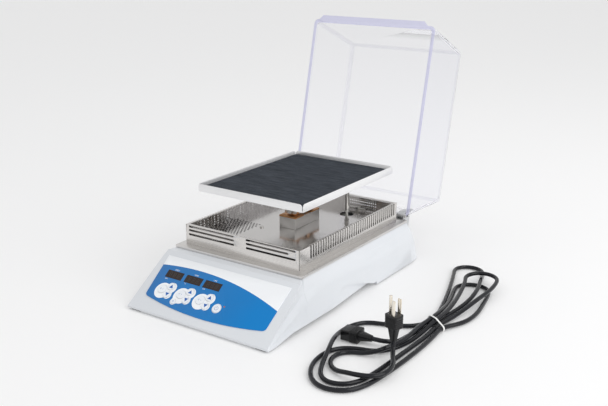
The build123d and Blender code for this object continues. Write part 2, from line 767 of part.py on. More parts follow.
with BuildPart() as fan_rotor:
    rod(14.0, (fan_x, fan_y, fan_low + 3.2), (fan_x, fan_y, 93.0))
    with Locations((fan_x, fan_y, 86.5)):
        with PolarLocations(22.0, 7):
            Box(18.0, 1.8, 14.0, rotation=(50, 0, 0))
    rod(3.0 + running_fit, (fan_x, fan_y, 70.0), (fan_x, fan_y, 95.0), mode=Mode.SUBTRACT)
save(fan_rotor.part, "fan_rotor")

with BuildPart() as heater_element:
    with BuildLine() as heater_path:
        FilletPolyline(
            (-18.0, back(58.0), 90.0),
            (86.0, back(58.0), 90.0),
            (86.0, back(112.0), 90.0),
            (-18.0, back(112.0), 90.0),
            radius=22.0,
        )
    with BuildSketch(Plane(origin=heater_path.line @ 0, z_dir=heater_path.line % 0)):
        Circle(3.2)
    sweep(path=heater_path.line)
    for x in (0.0, 50.0):
        block((x, x + 4.0), (back(54.0), back(116.0)), (91.5, floor_top - tray_sheet))
save(heater_element.part, "heater_element")

with BuildPart() as temperature_probe:
    block((47.0, 53.0), (back(299.0), back(307.0)), (floor_top, 105.5))
    rod(2.0, (34.0, back(303.0), 102.5), (66.0, back(303.0), 102.5))
save(temperature_probe.part, "temperature_probe")

# Electrics on the bottom plate
with BuildPart() as power_transformer:
    block((-112.0, -52.0), (back(-12.0), back(40.0)), (plate_top, plate_top + 2.0))
    block((-106.0, -58.0), (back(-2.0), back(30.0)), (plate_top + 2.0, 56.0))
    block((-98.0, -66.0), (back(-11.0), back(39.0)), (20.0, 46.0))
save(power_transformer.part, "power_transformer")

with BuildPart() as control_board:
    block((10.0, 112.0), (back(-40.0), back(66.0)), (18.0, 19.6))
    for x in (16.0, 106.0):
        for distance in (-34.0, 60.0):
            rod(3.0, (x, back(distance), plate_top), (x, back(distance), 18.0))
    block((24.0, 44.0), (back(-20.0), back(10.0)), (19.6, 34.0))
    block((60.0, 100.0), (back(20.0), back(26.0)), (19.6, 44.0))
    rod(8.0, (62.0, back(-10.0), 19.6), (62.0, back(-10.0), 40.0))
    rod(8.0, (84.0, back(-10.0), 19.6), (84.0, back(-10.0), 40.0))
save(control_board.part, "control_board")

# Mains inlet in the rear recess, with a fuse drawer above the socket
socket_z = inlet_z - 3.2
drawer_z = inlet_z + 9.4
with BuildPart() as mains_inlet:
    with BuildSketch(Plane.XZ.offset(-back(inlet_face))):
        with Locations((inlet_x, inlet_z)):
            RectangleRounded(50.0, 31.0, 3.0)
    extrude(amount=-2.6)
    block(
        (inlet_x - 15.0, inlet_x + 15.0),
        (back(334.0), back(inlet_face)),
        (inlet_z - 13.5, inlet_z + 13.5),
    )
    with BuildSketch(Plane.XZ.offset(-back(inlet_face + 3.0))):
        with BuildLine():
            Polyline(
                (inlet_x - 12.2, socket_z + 8.2),
                (inlet_x + 12.2, socket_z + 8.2),
                (inlet_x + 12.2, socket_z - 3.6),
                (inlet_x + 7.6, socket_z - 8.2),
                (inlet_x - 7.6, socket_z - 8.2),
                (inlet_x - 12.2, socket_z - 3.6),
                close=True,
            )
        make_face()
    extrude(amount=19.0, mode=Mode.SUBTRACT)
    for pin_x, pin_z in ((-7.0, -1.6), (0.0, 2.4), (7.0, -1.6)):
        block(
            (inlet_x + pin_x - 1.0, inlet_x + pin_x + 1.0),
            (back(340.0), back(358.0)),
            (socket_z + pin_z - 2.0, socket_z + pin_z + 2.0),
        )
    block(
        (inlet_x - 11.3, inlet_x + 11.3),
        (back(339.0), back(inlet_face + 3.0)),
        (drawer_z - 2.9, drawer_z + 2.9),
        mode=Mode.SUBTRACT,
    )
    for side in (-1, 1):
        rod(
            1.6,
            (inlet_x + side * 20.0, back(inlet_face - 1.0), inlet_z),
            (inlet_x + side * 20.0, back(inlet_face + 3.0), inlet_z),
            mode=Mode.SUBTRACT,
        )
save(mains_inlet.part, "mains_inlet")

with BuildPart() as inlet_screws:
    for side in (-1, 1):
        screw_x = inlet_x + side * 20.0
        head = back(inlet_face + 2.6)
        rod(2.8, (screw_x, head, inlet_z), (screw_x, head + 1.8, inlet_z))
        rod(1.5, (screw_x, back(inlet_face - 4.0), inlet_z), (screw_x, head, inlet_z))
save(inlet_screws.part, "inlet_screws")

with BuildPart() as fuse_drawer:
    block(
        (inlet_x - 11.0, inlet_x + 11.0),
        (back(339.4), back(inlet_face + 3.4)),
        (drawer_z - 2.6, drawer_z + 2.6),
    )
    block(
        (inlet_x - 8.0, inlet_x + 8.0),
        (back(342.0), back(356.0)),
        (drawer_z - 1.2, drawer_z + 3.0),
        mode=Mode.SUBTRACT,
    )
save(fuse_drawer.part, "fuse_drawer")

# Lid: drawn closed in its own frame, which leans back when the lid stands open
lean = math.radians(lid_lean)
hinge_y = back(352.9)
lid_origin = (
    0.0,
    hinge_y - hinge_pin_up * math.cos(lean),
    hinge_z + hinge_pin_up * math.sin(lean),
)
lid_frame = Plane(origin=lid_origin, x_dir=(1, 0, 0), z_dir=(0, math.cos(lean), -math.sin(lean)))
front_slant = 29.4
rear_slant = 23.0
side_slant = 5.5
screw_heights = (27.6, 36.4)


def wall_screw(side, height, out):
    """A point on a hinge screw's axis, this far out of the lid's rear wall."""
    slope = math.atan2(rear_slant, lid_height)
    across = out * math.cos(slope) - rear_slant * height / lid_height
    return lid_frame.from_local_coords((side * 113.8, across, height + out * math.sin(slope)))


def lid_outline(height, inset, corner):
    """The lid's outline at this height, drawn in by the inset."""
    share = height / lid_height
    wide = lid_width - 2 * side_slant * share - 2 * inset
    deep = lid_depth - (front_slant + rear_slant) * share - 2 * inset
    middle = -lid_depth / 2 + (front_slant - rear_slant) * share / 2
    with BuildSketch(lid_frame.offset(height)) as outline:
        with Locations((0, middle)):
            RectangleRounded(wide, deep, corner)
    return outline.sketch


with BuildPart() as lid_room:
    loft(sections=[lid_outline(3.0, lid_wall, 7.0), lid_outline(lid_height - lid_wall, lid_wall, 7.0)])
    top_face = lid_room.faces().sort_by(Axis(lid_frame.origin, lid_frame.z_dir))[-1]
    fillet(top_face.edges(), 7.0)
    block((-200.0, 200.0), (-400.0, 50.0), (-20.0, 6.0), mode=Mode.SUBTRACT, frame=lid_frame)

# One tool cuts the hinge screws' holes through the leaves and the lid's rear wall
with BuildPart() as screw_holes:
    for side in (-1, 1):
        for height in screw_heights:
            rod(1.6, wall_screw(side, height, 5.0), wall_screw(side, height, -10.0))

with BuildPart() as lid_shell:
    loft(sections=[lid_outline(0.0, 0.0, 10.0), lid_outline(lid_height, 0.0, 10.0)])
    top_face = lid_shell.faces().sort_by(Axis(lid_frame.origin, lid_frame.z_dir))[-1]
    fillet(top_face.edges(), 9.9)
    with BuildSketch(lid_frame.offset(6.0)):
        with Locations((0, -lid_depth / 2)):
            RectangleRounded(lid_width - 2 * lid_rim, lid_depth - 2 * lid_rim, 5.0)
    extrude(amount=-8.0, mode=Mode.SUBTRACT)
    add(lid_room.part, mode=Mode.SUBTRACT)
    # lifting lip along the front edge
    with BuildSketch(lid_frame):
        with BuildLine():
            Polyline(
                (-122.0, -352.0),
                (-122.0, -354.0),
                (-114.0, -362.0),
                (109.0, -362.0),
                (117.0, -354.0),
                (117.0, -352.0),
                close=True,
            )
        make_face()
    extrude(amount=3.0)
    # notches for the hinges and holes for their screws
    for side in (-1, 1):
        notch = sorted((side * 103.0, side * 126.0))
        block(notch, (-12.0, 5.0), (-1.0, 8.6), mode=Mode.SUBTRACT, frame=lid_frame)
    add(screw_holes.part, mode=Mode.SUBTRACT)
save(lid_shell.part, "lid_shell")

with BuildPart() as hinge_posts:
    for side in (-1, 1):
        low_x, high_x = sorted((side * 104.0, side * 123.5))
        with BuildSketch(Plane.YZ.offset(low_x)):
            with BuildLine():
                Polyline(
                    (back(346.6), 77.5),
                    (back(357.0), 62.2),
                    (back(361.6), 52.6),
                    (back(366.0), 55.0),
                    (back(371.5), 79.0),
                    (back(371.5), 83.5),
                    (back(361.0), 83.5),
                    (back(358.0), 81.0),
                    (back(348.4), 81.0),
                    close=True,
                )
            make_face()
        extrude(amount=19.5)
        for ear in (sorted((side * 104.0, side * 107.5)), sorted((side * 120.0, side * 123.5))):
            block(ear, (back(348.4), back(357.4)), (80.5, hinge_z))
            rod(4.5, (ear[0], hinge_y, hinge_z), (ear[1], hinge_y, hinge_z))
        rod(
            2.0,
            (low_x - 1.0, hinge_y, hinge_z),
            (high_x + 1.0, hinge_y, hinge_z),
            mode=Mode.SUBTRACT,
        )
save(hinge_posts.part, "hinge_posts")

with BuildPart() as hinge_pins:
    for side in (-1, 1):
        inner, outer = side * 104.0, side * 123.5
        rod(2.0, (inner, hinge_y, hinge_z), (outer, hinge_y, hinge_z))
        rod(3.4, (outer, hinge_y, hinge_z), (outer + side * 1.5, hinge_y, hinge_z))
save(hinge_pins.part, "hinge_pins")

with BuildPart() as hinge_leaves:
    for side in (-1, 1):
        low_x, high_x = sorted((side * 108.0, side * 119.6))
        start = lid_frame.from_local_coords((low_x, 0.0, 0.0))
        side_plane = Plane(origin=start, x_dir=lid_frame.y_dir, z_dir=(1, 0, 0))
        with BuildSketch(side_plane):
            with BuildLine():
                Polyline(
                    (-0.4, 3.0),
                    (-0.6, 7.2),
                    (-4.5, 8.4),
                    (-9.6, 41.0),
                    (-11.9, 41.0),
                    (-7.3, 9.0),
                    (-4.3, 2.0),
                    close=True,
                )
            make_face()
        extrude(amount=11.6)
        rod(4.5, (low_x, hinge_y, hinge_z), (high_x, hinge_y, hinge_z))
        rod(
            2.0 + running_fit,
            (low_x - 1.0, hinge_y, hinge_z),
            (high_x + 1.0, hinge_y, hinge_z),
            mode=Mode.SUBTRACT,
        )
    add(screw_holes.part, mode=Mode.SUBTRACT)
save(hinge_leaves.part, "hinge_leaves")

with BuildPart() as lid_screws:
    for side in (-1, 1):
        for height in screw_heights:
            rod(1.6, wall_screw(side, height, 1.6), wall_screw(side, height, -5.1))
            rod(3.2, wall_screw(side, height, 1.6), wall_screw(side, height, 0.0))
save(lid_screws.part, "lid_screws")

with BuildPart() as lid_stops:
    for side in (-1, 1):
        pad = sorted((side * 106.0, side * 121.5))
        block(pad, (back(361.0), back(369.0)), (83.5, 86.6))
save(lid_stops.part, "lid_stops")

# Mains lead, coiled and tied beside the instrument. One wire runs from the plug through the
# small left loop, the short right loop, the outer left loop, the middle right loop, the inner
# left loop and the long right loop to the connector. Points: across, distance, height.
lead_size = 7.2
lead_points = [
    (308, -19, 33),
    (308, -19, 19.5),
    (314, -31, 13.8),
    (325, -48, 12.6),
    (331, -66, 12.6),
    (330, -85, 12.6),
    (319, -100, 12.6),
    (301, -107, 12.6),
    (280, -106, 10),
    (262, -102, 5.5),
    (246, -91, 4),
    (235, -74, 4),
    (235, -51, 4),
    (250, -36, 4),
    (267, -32.6, 5),
    (283, -24, 9),
    (294, -9, 12.8),
    (301, 14, 13.2),
    (302, 42, 13.2),
    (299, 76, 13.6),
    (302, 115.5, 14.2),
    (300, 150, 12.4),
    (294, 186, 8),
    (284, 226, 4),
    (273, 260, 4),
    (268, 282, 4),
    (279.5, 301, 4),
    (300.5, 307, 4),
    (320.5, 298, 4),
    (330, 275, 4),
    (338, 236, 4),
    (346, 192, 4),
    (343, 150, 4),
    (322, 109.2, 5.8),
    (325, 78, 4),
    (327, 42, 4),
    (327, 4, 4),
    (326, -36, 4),
    (323, -76, 4),
    (319, -110, 4),
    (307, -138, 4),
    (280, -152, 4),
    (253, -146, 4),
    (232, -124, 4),
    (219, -94, 4),
    (217, -62, 4),
    (227, -37, 4),
    (249, -24, 4),
    (273, -18, 4),
    (291, -2, 4),
    (303, 34, 4),
    (306, 72, 5.6),
    (310, 113, 14.2),
    (309, 152, 12.6),
    (304, 194, 12.6),
    (294, 240, 13),
    (283, 282, 15),
    (273, 306, 17),
    (284, 327, 18),
    (306, 334, 18),
    (326, 323, 17.5),
    (332, 301, 16.5),
    (334, 268, 15),
    (330, 232, 13),
    (326, 194, 9),
    (320, 156, 5),
    (314, 111.7, 5.8),
    (316, 76, 4),
    (315, 38, 4),
    (313, 0, 4),
    (312, -38, 4),
    (310, -76, 4),
    (306, -106, 4),
    (292, -128, 4),
    (268, -135, 4),
    (248, -122, 4),
    (235, -96, 6),
    (225, -64, 12.6),
    (212, -32, 12.6),
    (200, 2, 6),
    (199, 38, 4),
    (212, 64, 4),
    (240, 74, 4),
    (267, 83, 4),
    (286, 98, 4),
    (298, 116.8, 5.8),
    (295, 150, 4),
    (285, 190, 4),
    (271, 238, 4),
    (255, 286, 4),
    (240, 328, 4),
    (229, 355, 4),
    (236.7, 374, 4),
    (255.6, 382, 4),
    (274.7, 374.7, 4),
    (284.3, 356.6, 4),
    (293, 331, 9),
    (301, 306, 12.5),
    (309, 281, 12.7),
    (315, 254, 12),
    (317, 220, 8.6),
    (312, 184, 4.4),
    (307, 150, 4),
    (306, 114.3, 5.8),
    (298, 86, 4),
    (292, 58, 4),
    (290.5, 36, 5),
    (289, 24, 7),
    (282.2, 14, 9.2),
    (271.6, 7.8, 10.3),
    (258, 6.7, 10.3),
]
route = [Vector(x, back(distance), z) for x, distance, z in lead_points]

# Each bend's arc takes up nearly half of the shorter run beside it
bend_radii = []
for before, corner, after in zip(route, route[1:], route[2:]):
    turn = math.radians((corner - before).get_angle(after - corner))
    shorter = min((corner - before).length, (after - corner).length)
    bend_radii.append(0.45 * shorter / math.tan(turn / 2))

with BuildPart() as mains_lead:
    with BuildLine() as lead_line:
        FilletPolyline(*route, radius=bend_radii)
    lead_path = lead_line.wire()
    with BuildSketch(Plane(origin=lead_path @ 0, z_dir=lead_path % 0)):
        Circle(lead_size / 2)
    sweep(path=lead_path)
save(mains_lead.part, "mains_lead")

samples = lead_path.positions([step / 1600 for step in range(1601)])
least_gap = 100.0
for count, one in enumerate(samples):
    for other in samples[count + 18 :]:
        least_gap = min(least_gap, (one - other).length - lead_size)
section = math.pi * (lead_size / 2) ** 2
print("lead: length", round(lead_path.length), "smallest radii", [round(r, 1) for r in sorted(bend_radii)[:6]])
print("lead: least gap to itself", round(least_gap, 2))
print("lead: volume", round(mains_lead.part.volume), "section by length", round(section * lead_path.length))

# White tie round the six strands at the waist of the hank
tie_plane = Plane(origin=(310.0, back(113.0), 0.0), x_dir=(-0.954, 0.30, 0), z_dir=(0.30, 0.954, 0))
strands = []
for one, other in zip(samples, samples[1:]):
    near_side = tie_plane.to_local_coords(one)
    far_side = tie_plane.to_local_coords(other)
    if near_side.Z * far_side.Z <= 0 and abs(near_side.X) < 30.0:
        strands.append(((near_side.X + far_side.X) / 2, (near_side.Y + far_side.Y) / 2))
print("tie: strands", [(round(x, 1), round(z, 1)) for x, z in strands])

with BuildPart() as lead_tie:
    with BuildSketch(tie_plane.offset(-1.5)):
        with Locations(*strands):
            Circle(lead_size / 2 + 1.9)
        make_hull()
    extrude(amount=3.0)
    with BuildSketch(tie_plane.offset(-2.0)):
        with Locations(*strands):
            Circle(lead_size / 2 + 0.9)
        make_hull()
    extrude(amount=4.0, mode=Mode.SUBTRACT)
save(lead_tie.part, "lead_tie")

# Connector at one end of the lead: tapered strain relief, ribbed grip, nose with three slots
connector_heading = lead_path % 1
connector_side = connector_heading.cross(Vector(0, 0, 1))
connector = Plane(origin=lead_path @ 1, x_dir=connector_side, z_dir=connector_heading)
with BuildPart() as lead_connector:
    with BuildSketch(connector):
        Circle(5.0)
    with BuildSketch(connector.offset(20.0)):
        RectangleRounded(17.0, 14.0, 4.5)
    loft()
    with BuildSketch(connector.offset(20.0)):
        RectangleRounded(27.0, 19.8, 4.0)
    extrude(amount=13.0)
    with BuildSketch(connector.offset(33.0)):
        RectangleRounded(24.6, 17.0, 2.0)
    extrude(amount=15.0)
    for level in (22.0, 24.6, 27.2, 29.8):
        with BuildSketch(connector.offset(level)):
            RectangleRounded(30.0, 24.0, 2.0)
            RectangleRounded(25.8, 18.6, 3.4, mode=Mode.SUBTRACT)
        extrude(amount=1.3, mode=Mode.SUBTRACT)
    with BuildSketch(connector.offset(48.0)):
        with Locations((-7.0, -1.6), (0.0, 2.4), (7.0, -1.6)):
            Rectangle(2.4, 4.6)
    extrude(amount=-14.0, mode=Mode.SUBTRACT)
save(lead_connector.part, "lead_connector")

# Plug at the other end, standing upright on its lead
plug = Plane(origin=lead_path @ 0, x_dir=(0.966, -0.259, 0), z_dir=(0, 0, 1))
plug_top = 40.0
with BuildPart() as plug_prongs:
    with BuildSketch(plug.offset(plug_top - 6.0)):
        with Locations((4.4, 6.35), (4.4, -6.35)):
            Rectangle(6.3, 1.5)
    extrude(amount=30.0)
    with BuildSketch(plug.offset(plug_top - 6.0)):
        with Locations((-7.5, 0.0)):
            Circle(2.4)
    extrude(amount=33.0)
    tips = plug_prongs.faces().filter_by(Axis.Z).sort_by(Axis.Z)[-3:]
    fillet(tips.edges(), 0.6)

with BuildPart() as plug_body:
    with BuildSketch(plug):
        Circle(5.2)
    with BuildSketch(plug.offset(20.0)):
        RectangleRounded(17.0, 14.0, 4.5)
    loft()
    with BuildSketch(plug.offset(20.0)):
        RectangleRounded(23.0, 19.0, 4.0)
    extrude(amount=plug_top - 20.0)
    for level in (22.5, 25.3, 28.1, 30.9, 33.7):
        with BuildSketch(plug.offset(level)):
            RectangleRounded(26.0, 22.0, 2.0)
            RectangleRounded(21.8, 17.8, 3.4, mode=Mode.SUBTRACT)
        extrude(amount=1.4, mode=Mode.SUBTRACT)
    add(plug_prongs.part, mode=Mode.SUBTRACT)
save(plug_body.part, "plug_body")
save(plug_prongs.part, "plug_prongs")
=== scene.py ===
import json
import math

import bmesh
import bpy
import numpy as np
from mathutils import Matrix, Vector

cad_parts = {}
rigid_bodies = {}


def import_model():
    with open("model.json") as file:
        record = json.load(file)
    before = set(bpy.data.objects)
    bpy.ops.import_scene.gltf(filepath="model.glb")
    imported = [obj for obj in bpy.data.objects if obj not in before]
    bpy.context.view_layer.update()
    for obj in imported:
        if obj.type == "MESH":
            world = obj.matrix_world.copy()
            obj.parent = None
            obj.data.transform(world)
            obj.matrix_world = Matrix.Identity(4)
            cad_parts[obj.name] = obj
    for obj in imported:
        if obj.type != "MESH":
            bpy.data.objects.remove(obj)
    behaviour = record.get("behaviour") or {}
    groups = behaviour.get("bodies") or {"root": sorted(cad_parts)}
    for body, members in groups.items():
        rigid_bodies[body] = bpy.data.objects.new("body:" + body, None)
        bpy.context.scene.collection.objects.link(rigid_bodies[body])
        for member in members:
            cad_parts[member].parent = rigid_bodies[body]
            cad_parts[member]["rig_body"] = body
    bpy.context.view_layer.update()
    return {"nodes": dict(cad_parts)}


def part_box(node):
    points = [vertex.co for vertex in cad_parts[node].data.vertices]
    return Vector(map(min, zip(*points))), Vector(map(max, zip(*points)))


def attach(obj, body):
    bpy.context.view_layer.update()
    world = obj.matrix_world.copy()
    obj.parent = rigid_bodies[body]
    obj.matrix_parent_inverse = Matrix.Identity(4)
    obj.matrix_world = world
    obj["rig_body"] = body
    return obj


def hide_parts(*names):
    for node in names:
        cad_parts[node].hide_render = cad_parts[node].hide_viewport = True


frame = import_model()
nodes = frame["nodes"]
print("frame loaded,", len(nodes), "nodes")

# Everything is in metres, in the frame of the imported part: -Y is the front, +Z is up
mm = 0.001
deckFront = -224.7 * mm  # y of the steel flange's front edge


def back(distance):
    # y of a place this many millimetres behind the flange's front edge
    return deckFront + distance * mm


# The sloped control panel: x across, up the slope, out of its face
panel = {"low": (0.0, back(-107.5), 6.5 * mm), "rise": math.atan2(71.0, 95.5)}
panelUp = Vector((0.0, math.cos(panel["rise"]), math.sin(panel["rise"])))
panelOut = Vector((0.0, -math.sin(panel["rise"]), math.cos(panel["rise"])))


def onPanel(points, out):
    # Millimetres across and up the panel, and this far out of it, as places in the frame
    flat = np.asarray(points, float) * mm
    origin = np.array(panel["low"])
    across = flat[:, :1] * np.array([[1.0, 0.0, 0.0]])
    return origin + across + flat[:, 1:2] * np.array(panelUp) + out * mm * np.array(panelOut)


# Helpers that make meshes

def addMesh(name, points, faces, body, material, smooth=True):
    mesh = bpy.data.meshes.new(name)
    mesh.from_pydata(np.asarray(points, float).tolist(), [], [list(map(int, face)) for face in faces])
    mesh.update()
    mesh.polygons.foreach_set("use_smooth", np.full(len(mesh.polygons), smooth))
    piece = bpy.data.objects.new(name, mesh)
    bpy.context.scene.collection.objects.link(piece)
    mesh.materials.append(material)
    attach(piece, body)
    return piece


def gridFaces(rows, columns, wrapRows=False, wrapColumns=False):
    # Quads between neighbouring rows and columns of a grid of points, row by row
    row = np.arange(rows if wrapRows else rows - 1)
    column = np.arange(columns if wrapColumns else columns - 1)
    r, c = np.meshgrid(row, column, indexing="ij")
    rNext, cNext = (r + 1) % rows, (c + 1) % columns
    quads = [r * columns + c, r * columns + cNext, rNext * columns + cNext, rNext * columns + c]
    return np.stack([q.ravel() for q in quads], axis=1).tolist()


def tubeFaces(rows, columns):
    # A closed tube of rings, with a flat cap at each end
    caps = [list(range(columns))[::-1], list(range((rows - 1) * columns, rows * columns))]
    return gridFaces(rows, columns, wrapColumns=True) + caps


outwardMerge = 0.001  # millimetres within which points of a new mesh are one


def outward(piece):
    # Turns every face of a closed mesh to point outwards
    work = bmesh.new()
    work.from_mesh(piece.data)
    bmesh.ops.remove_doubles(work, verts=work.verts, dist=outwardMerge * mm)
    bmesh.ops.recalc_face_normals(work, faces=work.faces)
    work.to_mesh(piece.data)
    work.free()
    return piece


# An edge past the sharp angle is rounded, and faces within the flat one are joined, in degrees;
# points closer than the merge distance are one, in millimetres
softening = {"sharpAngle": 28.0, "flatAngle": 0.6, "mergeDistance": 0.002}


def addBevel(piece, width, segments):
    bevel = piece.modifiers.new("softEdges", "BEVEL")
    bevel.width = width * mm
    bevel.segments = segments
    bevel.limit_method = "ANGLE"
    bevel.angle_limit = math.radians(softening["sharpAngle"])
    bevel.use_clamp_overlap = True
    bevel.harden_normals = True
    return piece


def softened(node, name, width, material, segments):
    # A merged copy of a CAD node with its edges rounded, which stands for the node
    source = nodes[node]
    mesh = source.data.copy()
    mesh.name = name
    work = bmesh.new()
    work.from_mesh(mesh)
    bmesh.ops.remove_doubles(work, verts=work.verts, dist=softening["mergeDistance"] * mm)
    flat = math.radians(softening["flatAngle"])
    bmesh.ops.dissolve_limit(work, angle_limit=flat, verts=work.verts, edges=work.edges)
    for face in work.faces:
        face.smooth = True
    work.to_mesh(mesh)
    work.free()
    mesh.materials.clear()
    mesh.materials.append(material)
    piece = bpy.data.objects.new(name, mesh)
    bpy.context.scene.collection.objects.link(piece)
    addBevel(piece, width, segments)
    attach(piece, source["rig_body"])
    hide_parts(node)
    return piece


# Helpers that make materials

def addNode(tree, kind, inputs=None, **settings):
    node = tree.nodes.new(kind)
    for key, value in settings.items():
        setattr(node, key, value)
    for socket, value in (inputs or {}).items():
        if isinstance(value, bpy.types.NodeSocket):
            tree.links.new(value, node.inputs[socket])
        else:
            node.inputs[socket].default_value = value
    return node


def maths(tree, operation, *values):
    node = addNode(tree, "ShaderNodeMath", dict(enumerate(values)), operation=operation)
    return node.outputs[0]


def mixColour(tree, factor, first, second):
    node = addNode(tree, "ShaderNodeMix", data_type="RGBA")
    for socket, value in ((0, factor), (6, first), (7, second)):
        if isinstance(value, bpy.types.NodeSocket):
            tree.links.new(value, node.inputs[socket])
        elif socket == 0:
            node.inputs[0].default_value = value
        else:
            node.inputs[socket].default_value = (*value, 1.0)
    return node.outputs[2]


def startMaterial(name, **constants):
    material = bpy.data.materials.new(name)
    material.use_nodes = True
    tree = material.node_tree
    shader = tree.nodes["Principled BSDF"]
    for key, value in constants.items():
        socket = shader.inputs[key.replace("_", " ")]
        socket.default_value = (*value, 1.0) if isinstance(value, tuple) and len(value) == 3 else value
    return material, tree, shader


def objectPlace(tree, stretch=(1.0, 1.0, 1.0)):
    coordinates = addNode(tree, "ShaderNodeTexCoord")
    inputs = {"Vector": coordinates.outputs["Object"], "Scale": stretch}
    return addNode(tree, "ShaderNodeMapping", inputs).outputs[0]


def mapRange(tree, value, **limits):
    # A value brought from one range to another; limits are fromMin, fromMax, toMin and toMax
    sockets = {"fromMin": "From Min", "fromMax": "From Max", "toMin": "To Min", "toMax": "To Max"}
    inputs = {"Value": value}
    inputs.update({sockets[key]: limit for key, limit in limits.items()})
    return addNode(tree, "ShaderNodeMapRange", inputs).outputs[0]


def addBump(tree, shader, height, strength, depth):
    inputs = {"Height": height, "Strength": strength, "Distance": depth * mm}
    bump = addNode(tree, "ShaderNodeBump", inputs)
    tree.links.new(bump.outputs[0], shader.inputs["Normal"])


noiseLow, noiseHigh = 0.3, 0.7  # most of a noise lies between these
grainDepth = 0.1  # millimetres that a fine noise raises a surface


def addGrain(tree, shader, look):
    # Two noises: a broad one shifts the colour, a fine one the roughness and the surface
    place = objectPlace(tree, look.get("broadStretch", (1.0, 1.0, 1.0)))
    finePlace = objectPlace(tree, look.get("stretch", (1.0, 1.0, 1.0)))
    broad = addNode(tree, "ShaderNodeTexNoise", {"Vector": place, "Scale": look["broad"], "Detail": 4.0})
    fine = addNode(tree, "ShaderNodeTexNoise", {"Vector": finePlace, "Scale": look["fine"], "Detail": 2.0})
    smooth, coarse = look["roughness"]
    span = {"fromMin": noiseLow, "fromMax": noiseHigh}
    rough = mapRange(tree, fine.outputs[0], toMin=smooth, toMax=coarse, **span)
    tree.links.new(rough, shader.inputs["Roughness"])
    addBump(tree, shader, fine.outputs[0], look["bump"], grainDepth)
    return mapRange(tree, broad.outputs[0], **span)


def plainMaterial(name, look):
    constants = {"Metallic": look.get("metallic", 0.0), "IOR": look.get("ior", 1.46)}
    constants["Coat Weight"] = look.get("coat", 0.0)
    constants["Coat Roughness"] = look.get("coatRoughness", 0.1)
    material, tree, shader = startMaterial(name)
    for key, value in constants.items():
        shader.inputs[key].default_value = value
    shade = addGrain(tree, shader, look)
    colour = mixColour(tree, shade, look["dark"], look["light"])
    tree.links.new(colour, shader.inputs["Base Color"])
    return material


